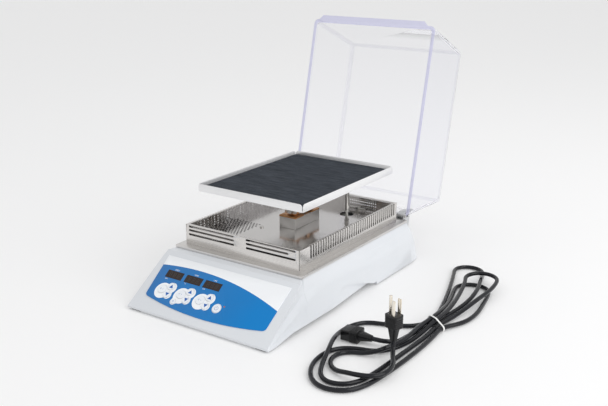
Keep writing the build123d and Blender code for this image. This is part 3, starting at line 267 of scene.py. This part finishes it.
# The finishes: darker and lighter colour, roughness range, sizes of the noises, bump
looks = {
    "housingPlastic": {
        "dark": (0.69, 0.715, 0.75), "light": (0.72, 0.742, 0.772), "roughness": (0.30, 0.36),
        "broad": 6.0, "fine": 900.0, "bump": 0.06, "coat": 0.15, "coatRoughness": 0.2,
    },
    "footRubber": {
        "dark": (0.03, 0.03, 0.032), "light": (0.05, 0.05, 0.052), "roughness": (0.7, 0.85),
        "broad": 60.0, "fine": 1500.0, "bump": 0.2,
    },
    "zincSheet": {
        "dark": (0.42, 0.44, 0.45), "light": (0.58, 0.60, 0.61), "roughness": (0.34, 0.5),
        "broad": 45.0, "fine": 400.0, "bump": 0.05, "metallic": 0.9,
    },
    "screwSteel": {
        "dark": (0.50, 0.49, 0.47), "light": (0.68, 0.67, 0.65), "roughness": (0.2, 0.34),
        "broad": 90.0, "fine": 900.0, "bump": 0.04, "metallic": 1.0,
    },
    "deckSteel": {
        "dark": (0.66, 0.645, 0.63), "light": (0.72, 0.705, 0.69), "roughness": (0.27, 0.31),
        "broad": 6.0, "fine": 900.0, "stretch": (0.03, 1.0, 1.0), "bump": 0.005, "metallic": 1.0,
    },
    "guardSteel": {
        "dark": (0.64, 0.62, 0.60), "light": (0.72, 0.70, 0.68), "roughness": (0.25, 0.31),
        "broad": 6.0, "fine": 900.0, "stretch": (0.03, 0.03, 1.0), "bump": 0.006, "metallic": 1.0,
    },
    "traySteel": {
        "dark": (0.54, 0.525, 0.515), "light": (0.60, 0.585, 0.575), "roughness": (0.13, 0.17),
        "broad": 5.0, "fine": 900.0, "stretch": (0.03, 1.0, 1.0), "bump": 0.008, "metallic": 1.0,
    },
    "standSteel": {
        "dark": (0.62, 0.605, 0.585), "light": (0.70, 0.685, 0.665), "roughness": (0.32, 0.38),
        "broad": 8.0, "fine": 900.0, "stretch": (0.03, 0.03, 1.0), "bump": 0.004, "metallic": 1.0,
    },
    "platformSteel": {
        "dark": (0.82, 0.82, 0.825), "light": (0.87, 0.87, 0.875), "roughness": (0.34, 0.4),
        "broad": 6.0, "fine": 900.0, "stretch": (0.03, 1.0, 1.0), "bump": 0.012, "metallic": 0.6,
    },
    "bearingBronze": {
        "dark": (0.42, 0.20, 0.085), "light": (0.62, 0.33, 0.15), "roughness": (0.32, 0.5),
        "broad": 80.0, "fine": 700.0, "bump": 0.1, "metallic": 1.0,
    },
    "castAluminium": {
        "dark": (0.55, 0.56, 0.57), "light": (0.68, 0.69, 0.70), "roughness": (0.3, 0.45),
        "broad": 50.0, "fine": 600.0, "bump": 0.06, "metallic": 1.0,
    },
    "acetal": {
        "dark": (0.72, 0.71, 0.67), "light": (0.80, 0.79, 0.75), "roughness": (0.35, 0.45),
        "broad": 30.0, "fine": 800.0, "bump": 0.04,
    },
    "beltRubber": {
        "dark": (0.015, 0.015, 0.016), "light": (0.03, 0.03, 0.03), "roughness": (0.55, 0.7),
        "broad": 90.0, "fine": 1500.0, "bump": 0.15,
    },
    "motorEnamel": {
        "dark": (0.05, 0.05, 0.052), "light": (0.08, 0.08, 0.085), "roughness": (0.35, 0.5),
        "broad": 40.0, "fine": 700.0, "bump": 0.12,
    },
    "blackPlastic": {
        "dark": (0.012, 0.012, 0.013), "light": (0.022, 0.022, 0.024), "roughness": (0.42, 0.55),
        "broad": 60.0, "fine": 1400.0, "bump": 0.16,
    },
    "heaterSheath": {
        "dark": (0.20, 0.16, 0.13), "light": (0.38, 0.31, 0.25), "roughness": (0.35, 0.5),
        "broad": 40.0, "fine": 500.0, "bump": 0.1, "metallic": 1.0,
    },
    "coreSteel": {
        "dark": (0.07, 0.065, 0.06), "light": (0.13, 0.12, 0.11), "roughness": (0.4, 0.6),
        "broad": 12.0, "fine": 220.0, "stretch": (1.0, 1.0, 40.0), "bump": 0.4, "metallic": 0.7,
    },
    "circuitBoard": {
        "dark": (0.01, 0.085, 0.03), "light": (0.02, 0.14, 0.055), "roughness": (0.3, 0.42),
        "broad": 160.0, "fine": 900.0, "bump": 0.1,
    },
    "displayModule": {
        "dark": (0.02, 0.018, 0.018), "light": (0.04, 0.036, 0.036), "roughness": (0.4, 0.5),
        "broad": 80.0, "fine": 900.0, "bump": 0.05,
    },
    "matRubber": {
        "dark": (0.012, 0.017, 0.024), "light": (0.055, 0.064, 0.080), "roughness": (0.6, 0.8),
        "broad": 420.0, "broadStretch": (0.06, 1.0, 1.0), "fine": 600.0, "stretch": (0.2, 1.0, 1.0),
        "bump": 0.3, "ior": 1.33,
    },
    "leadRubber": {
        "dark": (0.006, 0.0065, 0.009), "light": (0.010, 0.011, 0.015), "roughness": (0.12, 0.17),
        "broad": 70.0, "fine": 900.0, "bump": 0.02, "ior": 1.38,
    },
    "plugRubber": {
        "dark": (0.005, 0.005, 0.0055), "light": (0.010, 0.010, 0.011), "roughness": (0.2, 0.28),
        "broad": 70.0, "fine": 1300.0, "bump": 0.05, "ior": 1.38,
    },
    "prongBrass": {
        "dark": (0.80, 0.73, 0.62), "light": (0.90, 0.85, 0.76), "roughness": (0.18, 0.3),
        "broad": 90.0, "fine": 800.0, "bump": 0.03, "metallic": 1.0,
    },
    "tiePlastic": {
        "dark": (0.80, 0.80, 0.79), "light": (0.86, 0.86, 0.85), "roughness": (0.4, 0.5),
        "broad": 50.0, "fine": 900.0, "bump": 0.06,
    },
    "lampLens": {
        "dark": (0.30, 0.09, 0.05), "light": (0.38, 0.13, 0.08), "roughness": (0.15, 0.22),
        "broad": 90.0, "fine": 900.0, "bump": 0.02, "coat": 0.5,
    },
    "printWhite": {
        "dark": (0.80, 0.83, 0.86), "light": (0.85, 0.87, 0.89), "roughness": (0.4, 0.5),
        "broad": 60.0, "fine": 900.0, "bump": 0.02,
    },
    "printBlue": {
        "dark": (0.012, 0.105, 0.40), "light": (0.018, 0.13, 0.45), "roughness": (0.4, 0.5),
        "broad": 60.0, "fine": 900.0, "bump": 0.02,
    },
    "keyDome": {
        "dark": (0.80, 0.84, 0.89), "light": (0.86, 0.89, 0.93), "roughness": (0.32, 0.42),
        "broad": 90.0, "fine": 1200.0, "bump": 0.06, "coat": 0.2,
    },
}
materials = {name: plainMaterial(name, look) for name, look in looks.items()}

# The guard's folded sheet meets near its front right corner in a narrow gap, and the gap's shade is painted
# on as a dark line:
# the line's middle across, half its width, how far behind the flange's front edge and from what height it
# shows
seamShade = {"across": 118.3, "halfWidth": 0.5, "behind": 15.4, "above": 86.0, "colour": (0.03, 0.028, 0.026)}


# Paints the gap's shade on the guard as a near-black line over the steel colour
def paintSeamShade(material):
    tree = material.node_tree
    shader = tree.nodes["Principled BSDF"]
    place = addNode(tree, "ShaderNodeTexCoord").outputs["Object"]
    x, y, z = addNode(tree, "ShaderNodeSeparateXYZ", {0: place}).outputs
    near = maths(tree, "COMPARE", x, seamShade["across"] * mm, seamShade["halfWidth"] * mm)
    front = maths(tree, "LESS_THAN", y, back(seamShade["behind"]))
    high = maths(tree, "GREATER_THAN", z, seamShade["above"] * mm)
    seamShadeMask = maths(tree, "MULTIPLY", maths(tree, "MULTIPLY", near, front), high)
    steel = shader.inputs["Base Color"].links[0].from_socket
    tree.links.new(mixColour(tree, seamShadeMask, steel, seamShade["colour"]), shader.inputs["Base Color"])


paintSeamShade(materials["guardSteel"])


# The lid's clear sheet: colour, roughness, share of light let through, index of refraction
sheets = {
    "clearAcrylic": ((0.975, 0.977, 0.992), 0.02, 1.0, 1.03),
    "acrylicEdge": ((0.66, 0.66, 0.86), 0.3, 0.45, 1.12),
    "acrylicBend": ((0.935, 0.935, 0.975), 0.1, 0.92, 1.06),
}
ripple = {"scale": 5.0, "strength": 0.04, "depth": 1.0}


def acrylicMaterial(name, colour, roughness, transmission, refraction):
    material, tree, shader = startMaterial(name, Base_Color=colour, Roughness=roughness, IOR=refraction)
    shader.inputs["Transmission Weight"].default_value = transmission
    place = objectPlace(tree)
    noise = addNode(tree, "ShaderNodeTexNoise", {"Vector": place, "Scale": ripple["scale"], "Detail": 2.0})
    addBump(tree, shader, noise.outputs[0], ripple["strength"], ripple["depth"])
    return material


for name, sheet in sheets.items():
    materials[name] = acrylicMaterial(name, *sheet)

# What is printed on the keypad: places across and up the panel, sizes in millimetres
keypad = {
    "onKeys": [(-98.8, 45.2), (-57.5, 45.2), (-16.2, 45.2)],
    "upKeys": [(-84.2, 53.8), (-42.9, 53.8), (-1.6, 53.8)],
    "downKeys": [(-84.2, 37.9), (-42.9, 37.9), (-1.6, 37.9)],
    "timerKey": (-63.6, 29.6),
    "standbyKey": (22.0, 39.4),
    # white field round a group of keys: each disc's place from the on key, and its radius
    "fieldDiscs": [((1.8, -2.6), 14.8), ((16.6, 6.2), 9.8), ((17.0, -7.8), 7.4)],
    "fieldMerge": 4.0,  # how far the discs flow into one another
    "timerField": 6.2,
    "standbyField": 8.6,
    "arcTop": (-50.0, 94.7),  # highest point of the blue field's upper edge
    "arcDrop": 0.000985,  # how fast that edge falls away from it
    "displays": [(-92.0, 75.2), (-50.5, 75.2), (-10.0, 75.2)],
    "white": (0.90, 0.92, 0.945),
    "blueLeft": (0.040, 0.180, 0.46),
    "blueRight": (0.006, 0.205, 0.56),
    "blueSpan": (-120.0, 90.0),  # across the panel, from the left blue to the right one
    "grain": {"scale": 1500.0, "strength": 0.08, "depth": 0.05},
}
farAway = 1000.0  # millimetres: farther than anything on the panel


def panelCoordinates(tree):
    # Millimetres across the panel, and up it, from the object's own coordinates
    place = addNode(tree, "ShaderNodeTexCoord").outputs["Object"]
    parts = addNode(tree, "ShaderNodeSeparateXYZ", {0: place}).outputs
    across = maths(tree, "DIVIDE", parts[0], mm)
    level = maths(tree, "MULTIPLY", maths(tree, "SUBTRACT", parts[1], panel["low"][1]), panelUp.y / mm)
    climb = maths(tree, "MULTIPLY", maths(tree, "SUBTRACT", parts[2], panel["low"][2]), panelUp.z / mm)
    return across, maths(tree, "ADD", level, climb)


def discEdge(tree, across, up, place, radius):
    # Distance outside a disc: the length of (across - x, up - y), less the radius
    sideways = maths(tree, "POWER", maths(tree, "SUBTRACT", across, place[0]), 2.0)
    upwards = maths(tree, "POWER", maths(tree, "SUBTRACT", up, place[1]), 2.0)
    return maths(tree, "SUBTRACT", maths(tree, "SQRT", maths(tree, "ADD", sideways, upwards)), radius)


def smoothUnion(tree, first, second):
    # The smaller of two distances, rounded where they meet
    return maths(tree, "SMOOTH_MIN", first, second, keypad["fieldMerge"])


def keypadMaterial():
    material, tree, shader = startMaterial("keypadFilm", Roughness=0.42, IOR=1.25)
    across, up = panelCoordinates(tree)
    # signed distance to the white fields: each group's discs flow into one another
    timerEdge = discEdge(tree, across, up, keypad["timerKey"], keypad["timerField"])
    nearest = farAway
    for number, key in enumerate(keypad["onKeys"]):
        field = farAway
        for offset, radius in keypad["fieldDiscs"]:
            place = (key[0] + offset[0], key[1] + offset[1])
            field = smoothUnion(tree, field, discEdge(tree, across, up, place, radius))
        if number == 1:
            field = smoothUnion(tree, field, timerEdge)
        nearest = maths(tree, "MINIMUM", nearest, field)
    standbyEdge = discEdge(tree, across, up, keypad["standbyKey"], keypad["standbyField"])
    nearest = maths(tree, "MINIMUM", nearest, standbyEdge)
    fields = maths(tree, "LESS_THAN", nearest, 0.0)
    # the blue field ends at an arc that falls to the right
    middle, top = keypad["arcTop"]
    aside = maths(tree, "POWER", maths(tree, "SUBTRACT", across, middle), 2.0)
    edge = maths(tree, "SUBTRACT", top, maths(tree, "MULTIPLY", aside, keypad["arcDrop"]))
    above = maths(tree, "GREATER_THAN", up, edge)
    white = maths(tree, "MAXIMUM", fields, above)
    # the blue deepens towards the right
    left, right = keypad["blueSpan"]
    share = mapRange(tree, across, fromMin=left, fromMax=right)
    blue = mixColour(tree, share, keypad["blueLeft"], keypad["blueRight"])
    colour = mixColour(tree, white, blue, keypad["white"])
    tree.links.new(colour, shader.inputs["Base Color"])
    grain = keypad["grain"]
    fine = addNode(tree, "ShaderNodeTexNoise", {"Vector": objectPlace(tree), "Scale": grain["scale"]})
    addBump(tree, shader, fine.outputs[0], grain["strength"], grain["depth"])
    return material


materials["keypadFilm"] = keypadMaterial()


window = {
    "stretch": (1.0, 3.0, 3.0), "scale": 90.0, "roughness": (0.08, 0.2),
    "dark": (0.018, 0.011, 0.010), "light": (0.034, 0.022, 0.019),
}


def windowMaterial():
    # Smoked window: nearly black, with a broad soft sheen and faint wipe marks
    material, tree, shader = startMaterial("smokedWindow", IOR=1.38)
    place = objectPlace(tree, window["stretch"])
    smear = addNode(tree, "ShaderNodeTexNoise", {"Vector": place, "Scale": window["scale"]}).outputs[0]
    smooth, coarse = window["roughness"]
    tree.links.new(mapRange(tree, smear, toMin=smooth, toMax=coarse), shader.inputs["Roughness"])
    colour = mixColour(tree, smear, window["dark"], window["light"])
    tree.links.new(colour, shader.inputs["Base Color"])
    return material


materials["smokedWindow"] = windowMaterial()
print("materials made:", len(materials))

# CAD nodes that keep their own mesh
keptNodes = {
    "rubber_feet": "footRubber",
    "bottom_plate": "zincSheet",
    "bottom_screws": "screwSteel",
    "display_windows": "smokedWindow",
    "led_displays": "displayModule",
    "status_lamp": "lampLens",
    "display_board": "circuitBoard",
    "deck_tray": "traySteel",
    "deck_screws": "screwSteel",
    "pivot_shaft": "screwSteel",
    "pivot_screws": "screwSteel",
    "platform_screws": "screwSteel",
    "crank_pin": "screwSteel",
    "crank_pulley": "acetal",
    "motor_pulley": "castAluminium",
    "drive_belt": "beltRubber",
    "motor_bracket": "zincSheet",
    "drive_motor": "motorEnamel",
    "fan_frame": "blackPlastic",
    "fan_rotor": "blackPlastic",
    "heater_element": "heaterSheath",
    "temperature_probe": "screwSteel",
    "power_transformer": "coreSteel",
    "control_board": "circuitBoard",
    "inlet_screws": "screwSteel",
    "hinge_pins": "screwSteel",
    "lid_screws": "screwSteel",
    "lid_stops": "footRubber",
    "connecting_rod": "acetal",
}
for name in nodes:
    if name.endswith("_key"):
        keptNodes[name] = "keyDome"
for name, finish in keptNodes.items():
    piece = nodes[name]
    piece.data.materials.clear()
    piece.data.materials.append(materials[finish])

# CAD nodes that get rounded edges: new name, radius in millimetres, finish, segments
softNodes = {
    "base_housing": ("housingShell", 1.4, "housingPlastic", 3),
    "control_overlay": ("keypadLaminate", 0.3, "keypadFilm", 2),
    "deck_flange": ("deckFlangeSheet", 0.35, "deckSteel", 2),
    "vent_guard": ("ventGuardSheet", 0.3, "guardSteel", 2),
    "pivot_stand": ("pivotChannel", 0.4, "standSteel", 2),
    "pivot_bearings": ("pivotBlocks", 0.5, "bearingBronze", 2),
    "platform_bracket": ("bracketChannel", 0.4, "standSteel", 2),
    "platform_tray": ("platformPan", 0.5, "platformSteel", 2),
    "drive_stud": ("driveStudTurned", 0.4, "screwSteel", 2),
    "mains_inlet": ("inletBody", 0.4, "blackPlastic", 2),
    "fuse_drawer": ("fuseDrawerBody", 0.35, "blackPlastic", 2),
    "hinge_posts": ("hingePostCastings", 0.5, "castAluminium", 2),
    "hinge_leaves": ("hingeLeafCastings", 0.35, "castAluminium", 2),
    "lid_shell": ("lidMoulding", 0.5, "clearAcrylic", 2),
    "lead_connector": ("connectorMoulding", 0.6, "plugRubber", 2),
    "plug_body": ("plugMoulding", 0.6, "plugRubber", 2),
    "plug_prongs": ("plugBlades", 0.2, "prongBrass", 2),
    "lead_tie": ("leadTieBand", 0.35, "tiePlastic", 2),
}
soft = {}
for node, (name, width, finish, segments) in softNodes.items():
    soft[node] = softened(node, name, width, materials[finish], segments)
print("rounded pieces made:", len(soft))

# Ribbed mat on the platform
mat = {"pitch": 1.6, "depth": 0.45, "roundness": 0.6, "samples": 6, "corner": 3.0}


def ribbedMat():
    # Each row across is a flat strip whose height follows a rounded wave along the depth;
    # the rows' half width follows a rectangle with rounded corners
    low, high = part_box("rubber_mat")
    depth = (high.y - low.y) / mm
    rows = int(round(depth / mat["pitch"])) * mat["samples"] + 1
    y = np.linspace(0.0, depth, rows)
    wave = np.abs(np.sin(math.pi * y / mat["pitch"])) ** mat["roundness"]
    top = high.z / mm - mat["depth"] * (1.0 - wave)
    inset = np.minimum(y, depth - y)
    bite = np.clip(mat["corner"] - inset, 0.0, mat["corner"])
    half = (high.x - low.x) / mm / 2 - (mat["corner"] - np.sqrt(mat["corner"] ** 2 - bite**2))
    middle = (high.x + low.x) / 2
    points = np.zeros((rows, 4, 3))
    points[:, :, 1] = low.y + y[:, None] * mm
    points[:, :, 0] = middle + half[:, None] * np.array([-1.0, -1.0, 1.0, 1.0]) * mm
    points[:, 0, 2] = low.z
    points[:, 1, 2] = top * mm
    points[:, 2, 2] = top * mm
    points[:, 3, 2] = low.z
    rubber = materials["matRubber"]
    piece = addMesh("ribbedMat", points.reshape(-1, 3), tubeFaces(rows, 4), "platform", rubber, smooth=False)
    outward(piece)
    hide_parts("rubber_mat")
    return piece


ribbedMat()
print("mat made")


# Printing on the keypad and its keys: thin closed plates on the panel
def printPlates(name, outlines, low, high, body, material):
    # Each outline, in millimetres on the panel, is a plate between two heights above it
    points, faces = [], []
    for outline in outlines:
        count = len(outline)
        start = len(points)
        points += onPanel(outline, low).tolist() + onPanel(outline, high).tolist()
        faces.append([start + i for i in range(count)][::-1])
        faces.append([start + count + i for i in range(count)])
        for i in range(count):
            j = (i + 1) % count
            faces.append([start + i, start + j, start + count + j, start + count + i])
    piece = outward(addMesh(name, points, faces, body, materials[material], smooth=False))
    return piece


def arcOutline(centre, radius, width, start, end, steps=24):
    # A ring segment: along the outer arc, then back along the inner one
    angles = np.radians(np.linspace(start, end, steps))
    outer = np.stack([np.cos(angles), np.sin(angles)], axis=1) * (radius + width / 2)
    inner = np.stack([np.cos(angles), np.sin(angles)], axis=1)[::-1] * (radius - width / 2)
    return (np.concatenate([outer, inner]) + np.array(centre)).tolist()


def barOutline(centre, wide, high):
    # The four corners of a rectangle round its centre
    x, y = centre
    return [
        (x - wide / 2, y - high / 2), (x + wide / 2, y - high / 2),
        (x + wide / 2, y + high / 2), (x - wide / 2, y + high / 2),
    ]


marks = {
    "low": 1.9,
    "high": 2.04,
    "arrowWide": 8.0,
    "arrowHigh": 6.4,
    "arrowAside": 1.0,  # arrows stand this far right of their key's middle
    "onRing": {"aside": -2.6, "radius": 1.1, "width": 0.35, "end": 350.0},
    "onBar": {"aside": 2.2, "wide": 0.5, "high": 2.4},
    "standbyRing": {"radius": 3.2, "width": 0.55, "start": 125.0, "end": 415.0},
    "standbyBar": {"above": 2.0, "wide": 0.6, "high": 3.4},
    "timerRing": {"radius": 1.5, "width": 0.4, "end": 352.0},
}
keyNames = ("speed", "heat", "time")


def printMark(name, outlines, body):
    printPlates(name, outlines, marks["low"], marks["high"], body, "printBlue")


def arrowOutline(centre, way):
    # A triangle that points up the panel (way 1) or down it (way -1)
    x, y = centre[0] + marks["arrowAside"], centre[1]
    wide, high = marks["arrowWide"] / 2, marks["arrowHigh"] / 2 * way
    return [(x - wide, y - high), (x + wide, y - high), (x, y + high)]


for name, up, down in zip(keyNames, keypad["upKeys"], keypad["downKeys"]):
    printMark(name + "UpArrow", [arrowOutline(up, 1)], name + "_up")
    printMark(name + "DownArrow", [arrowOutline(down, -1)], name + "_down")
for name, (x, y) in zip(keyNames, keypad["onKeys"]):
    ring, bar = marks["onRing"], marks["onBar"]
    ringMark = arcOutline((x + ring["aside"], y), ring["radius"], ring["width"], 0.0, ring["end"])
    barMark = barOutline((x + bar["aside"], y), bar["wide"], bar["high"])
    printMark(name + "OnMark", [ringMark, barMark], name + "_on")
x, y = keypad["standbyKey"]
ring, bar = marks["standbyRing"], marks["standbyBar"]
ringMark = arcOutline((x, y), ring["radius"], ring["width"], ring["start"], ring["end"])
barMark = barOutline((x, y + bar["above"]), bar["wide"], bar["high"])
printMark("standbyMark", [ringMark, barMark], "standby")
ring = marks["timerRing"]
ringMark = arcOutline(keypad["timerKey"], ring["radius"], ring["width"], 0.0, ring["end"])
printMark("timerMark", [ringMark], "timer")


# Sizes of the words in millimetres, and their places out of the panel and from a window's middle
lettering = {"size": 3.6, "thickness": 0.03, "out": 1.25, "above": 9.6, "below": 9.6, "unitAside": 12.0}


def panelWords(name, words, material):
    # Plain words laid on the panel, each made a mesh before it is placed
    joined = bmesh.new()
    for text, (x, y) in words:
        curve = bpy.data.curves.new("word", "FONT")
        curve.body = text
        curve.size = lettering["size"] * mm
        curve.extrude = lettering["thickness"] * mm
        curve.align_x = "CENTER"
        curve.align_y = "CENTER"
        holder = bpy.data.objects.new("word", curve)
        bpy.context.scene.collection.objects.link(holder)
        depsgraph = bpy.context.evaluated_depsgraph_get()
        mesh = bpy.data.meshes.new_from_object(holder.evaluated_get(depsgraph))
        centre = Vector(onPanel([(x, y)], lettering["out"])[0])
        turn = Matrix((Vector((1, 0, 0)), panelUp, panelOut)).transposed().to_4x4()
        mesh.transform(Matrix.Translation(centre) @ turn)
        joined.from_mesh(mesh)
        bpy.data.objects.remove(holder)
        bpy.data.curves.remove(curve)
        bpy.data.meshes.remove(mesh)
    mesh = bpy.data.meshes.new(name)
    joined.to_mesh(mesh)
    joined.free()
    mesh.materials.append(materials[material])
    piece = bpy.data.objects.new(name, mesh)
    bpy.context.scene.collection.objects.link(piece)
    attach(piece, "base")
    return piece


titles = zip(("SPEED", "TEMP", "TIME"), keypad["displays"])
units = zip(("rpm", "°C", "min"), keypad["displays"])
words = [(text, (x, y + lettering["above"])) for text, (x, y) in titles]
words += [(text, (x - lettering["unitAside"], y - lettering["below"])) for text, (x, y) in units]
panelWords("keypadWords", words, "printWhite")

# Unlit figures behind the smoked windows
figures = {
    "perDisplay": 3, "pitch": 8.6, "wide": 3.9, "high": 7.4, "stroke": 0.9, "low": 1.2, "top": 1.32,
}


def figureStrokes():
    # The seven strokes of each unlit figure, as slim bars
    outlines = []
    w, h, t = figures["wide"] / 2, figures["high"] / 2, figures["stroke"]
    for centre in keypad["displays"]:
        for number in range(figures["perDisplay"]):
            x = centre[0] + (number - (figures["perDisplay"] - 1) / 2) * figures["pitch"]
            y = centre[1]
            for level in (-h, 0.0, h):
                outlines.append(barOutline((x, y + level), 2 * w - t, t))
            for side in (-w, w):
                for half in (-h / 2, h / 2):
                    outlines.append(barOutline((x + side, y + half), t, h - t))
    return outlines


printPlates("displayFigures", figureStrokes(), figures["low"], figures["top"], "base", "displayModule")
print("keypad printed")

# Mains lead: the route's own points, across, behind the flange's front edge, and up
lead = {"diameter": 7.2, "sides": 12}
leadPoints = [
    (308, -19, 33), (308, -19, 19.5), (314, -31, 13.8), (325, -48, 12.6), (331, -66, 12.6),
    (330, -85, 12.6), (319, -100, 12.6), (301, -107, 12.6), (280, -106, 10), (262, -102, 5.5),
    (246, -91, 4), (235, -74, 4), (235, -51, 4), (250, -36, 4), (267, -32.6, 5), (283, -24, 9),
    (294, -9, 12.8), (301, 14, 13.2), (302, 42, 13.2), (299, 76, 13.6), (302, 115.5, 14.2),
    (300, 150, 12.4), (294, 186, 8), (284, 226, 4), (273, 260, 4), (268, 282, 4), (279.5, 301, 4),
    (300.5, 307, 4), (320.5, 298, 4), (330, 275, 4), (338, 236, 4), (346, 192, 4), (343, 150, 4),
    (322, 109.2, 5.8), (325, 78, 4), (327, 42, 4), (327, 4, 4), (326, -36, 4), (323, -76, 4),
    (319, -110, 4), (307, -138, 4), (280, -152, 4), (253, -146, 4), (232, -124, 4), (219, -94, 4),
    (217, -62, 4), (227, -37, 4), (249, -24, 4), (273, -18, 4), (291, -2, 4), (303, 34, 4),
    (306, 72, 5.6), (310, 113, 14.2), (309, 152, 12.6), (304, 194, 12.6), (294, 240, 13),
    (283, 282, 15), (273, 306, 17), (284, 327, 18), (306, 334, 18), (326, 323, 17.5),
    (332, 301, 16.5), (334, 268, 15), (330, 232, 13), (326, 194, 9), (320, 156, 5),
    (314, 111.7, 5.8), (316, 76, 4), (315, 38, 4), (313, 0, 4), (312, -38, 4), (310, -76, 4),
    (306, -106, 4), (292, -128, 4), (268, -135, 4), (248, -122, 4), (235, -96, 6), (225, -64, 12.6),
    (212, -32, 12.6), (200, 2, 6), (199, 38, 4), (212, 64, 4), (240, 74, 4), (267, 83, 4),
    (286, 98, 4), (298, 116.8, 5.8), (295, 150, 4), (285, 190, 4), (271, 238, 4), (255, 286, 4),
    (240, 328, 4), (229, 355, 4), (236.7, 374, 4), (255.6, 382, 4), (274.7, 374.7, 4),
    (284.3, 356.6, 4), (293, 331, 9), (301, 306, 12.5), (309, 281, 12.7), (315, 254, 12),
    (317, 220, 8.6), (312, 184, 4.4), (307, 150, 4), (306, 114.3, 5.8), (298, 86, 4), (292, 58, 4),
    (290.5, 36, 5), (289, 24, 7), (282.2, 14, 9.2), (271.6, 7.8, 10.3), (258, 6.7, 10.3),
]


def mainsLead():
    # A round tube along the smooth curve that the route's points control, from connector to plug
    curve = bpy.data.curves.new("mainsLeadWire", "CURVE")
    curve.dimensions = "3D"
    curve.bevel_depth = lead["diameter"] / 2 * mm
    curve.bevel_resolution = lead["sides"] // 2 - 2
    curve.resolution_u = 8
    curve.use_fill_caps = True
    spline = curve.splines.new("NURBS")
    route = [(x * mm, back(distance), z * mm, 1.0) for x, distance, z in leadPoints[::-1]]
    spline.points.add(len(route) - 1)
    for point, place in zip(spline.points, route):
        point.co = place
    spline.order_u = 3
    spline.use_endpoint_u = True
    curve.materials.append(materials["leadRubber"])
    piece = bpy.data.objects.new("mainsLeadWire", curve)
    bpy.context.scene.collection.objects.link(piece)
    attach(piece, "base")
    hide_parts("mains_lead")
    return piece


mainsLead()
print("lead made")

# Lid: the polished rim shows the sheet's violet edge colour, and the bends a little of it
lid = {
    "lean": math.radians(13.0),
    "hinge": (0.0, back(352.9), 87.4 * mm),
    "pinUp": 3.0 * mm,
    "rimDepth": 0.3,  # millimetres from the rim's plane within which a face belongs to it
    "rimWay": 0.9,  # cosine past which a face looks along the rim's normal
    "wallArea": 0.004,  # square metres: faces larger than this are flat walls
    "wallWay": 0.985,  # cosine past which a face lies in a wall
}
lidNormal = Vector((0.0, math.cos(lid["lean"]), -math.sin(lid["lean"])))
lidPlane = Vector(lid["hinge"]) - lidNormal * lid["pinUp"]


def tintLidEdges(piece):
    # Faces in the rim's plane take the edge finish, and faces between the walls the bend finish
    mesh = piece.data
    mesh.materials.append(materials["acrylicEdge"])
    mesh.materials.append(materials["acrylicBend"])
    walls = [face.normal.copy() for face in mesh.polygons if face.area > lid["wallArea"]]
    for face in mesh.polygons:
        height = (face.center - lidPlane).dot(lidNormal)
        if height < lid["rimDepth"] * mm and abs(face.normal.dot(lidNormal)) > lid["rimWay"]:
            face.material_index = 1
        elif max(abs(face.normal.dot(wall)) for wall in walls) < lid["wallWay"]:
            face.material_index = 2


tintLidEdges(soft["lid_shell"])
print("lid tinted")

# Studio: pale floor, even light, and the photograph's view
studio = {
    "world": 0.80,
    "floorReach": 30.0,
    "floor": (0.80, 0.80, 0.803),
    "floorGlow": 0.13,
    "keyPower": 38.0,
    "keyPlace": (2.7, -0.3, 1.6),
    "keySize": 2.6,
    "topPower": 4.0,
    "topPlace": (0.9, 0.6, 2.4),
    "topSize": 0.8,
    "aim": (0.0, 0.0, 0.1),
}
floorMesh = bpy.data.meshes.new("studioFloor")
reach = studio["floorReach"]
floorCorners = [(-reach, -reach, 0), (reach, -reach, 0), (reach, reach, 0), (-reach, reach, 0)]
floorMesh.from_pydata(floorCorners, [], [(0, 1, 2, 3)])
floor = bpy.data.objects.new("studioFloor", floorMesh)
bpy.context.scene.collection.objects.link(floor)
floorMaterial, _, floorShader = startMaterial("studioPaper", Base_Color=studio["floor"], Roughness=0.6)
floorShader.inputs["Emission Color"].default_value = (1.0, 1.0, 1.0, 1.0)
floorShader.inputs["Emission Strength"].default_value = studio["floorGlow"]
floorMesh.materials.append(floorMaterial)

world = bpy.data.worlds.new("studioWorld")
bpy.context.scene.world = world
world.use_nodes = True
world.node_tree.nodes["Background"].inputs[0].default_value = (1.0, 1.0, 1.0, 1.0)
world.node_tree.nodes["Background"].inputs[1].default_value = studio["world"]


def softLight(name, place, power, size):
    light = bpy.data.lights.new(name, "AREA")
    light.energy = power
    light.size = size
    holder = bpy.data.objects.new(name, light)
    holder.location = place
    direction = Vector(studio["aim"]) - Vector(place)
    holder.rotation_euler = direction.to_track_quat("-Z", "Y").to_euler()
    bpy.context.scene.collection.objects.link(holder)


softLight("keyLight", studio["keyPlace"], studio["keyPower"], studio["keySize"])
softLight("topLight", studio["topPlace"], studio["topPower"], studio["topSize"])
bpy.context.scene.view_settings.view_transform = "Standard"

# The photograph's view: angles in degrees, distance in metres, focal length in pixels
view = {
    "azimuth": 34.721, "elevation": 17.208, "distance": 1.830, "roll": -0.095, "focal": 880.997,
    "target": (-131.27 * mm, back(387.46), 60.0 * mm), "imageWidth": 608, "sensor": 36.0, "clipEnd": 200.0,
}
azimuth, elevation = math.radians(view["azimuth"]), math.radians(view["elevation"])
toCamera = Vector((
    math.sin(azimuth) * math.cos(elevation),
    -math.cos(azimuth) * math.cos(elevation),
    math.sin(elevation),
))
cameraData = bpy.data.cameras.new("camera")
cameraData.sensor_width = view["sensor"]
cameraData.lens = view["focal"] / view["imageWidth"] * view["sensor"]
cameraData.clip_end = view["clipEnd"]
camera = bpy.data.objects.new("camera", cameraData)
camera.location = Vector(view["target"]) + toCamera * view["distance"]
upright = (-toCamera).to_track_quat("-Z", "Y").to_matrix()
camera.rotation_euler = (upright @ Matrix.Rotation(math.radians(view["roll"]), 3, "Z")).to_euler()
bpy.context.scene.collection.objects.link(camera)
bpy.context.scene.camera = camera
print("studio made")
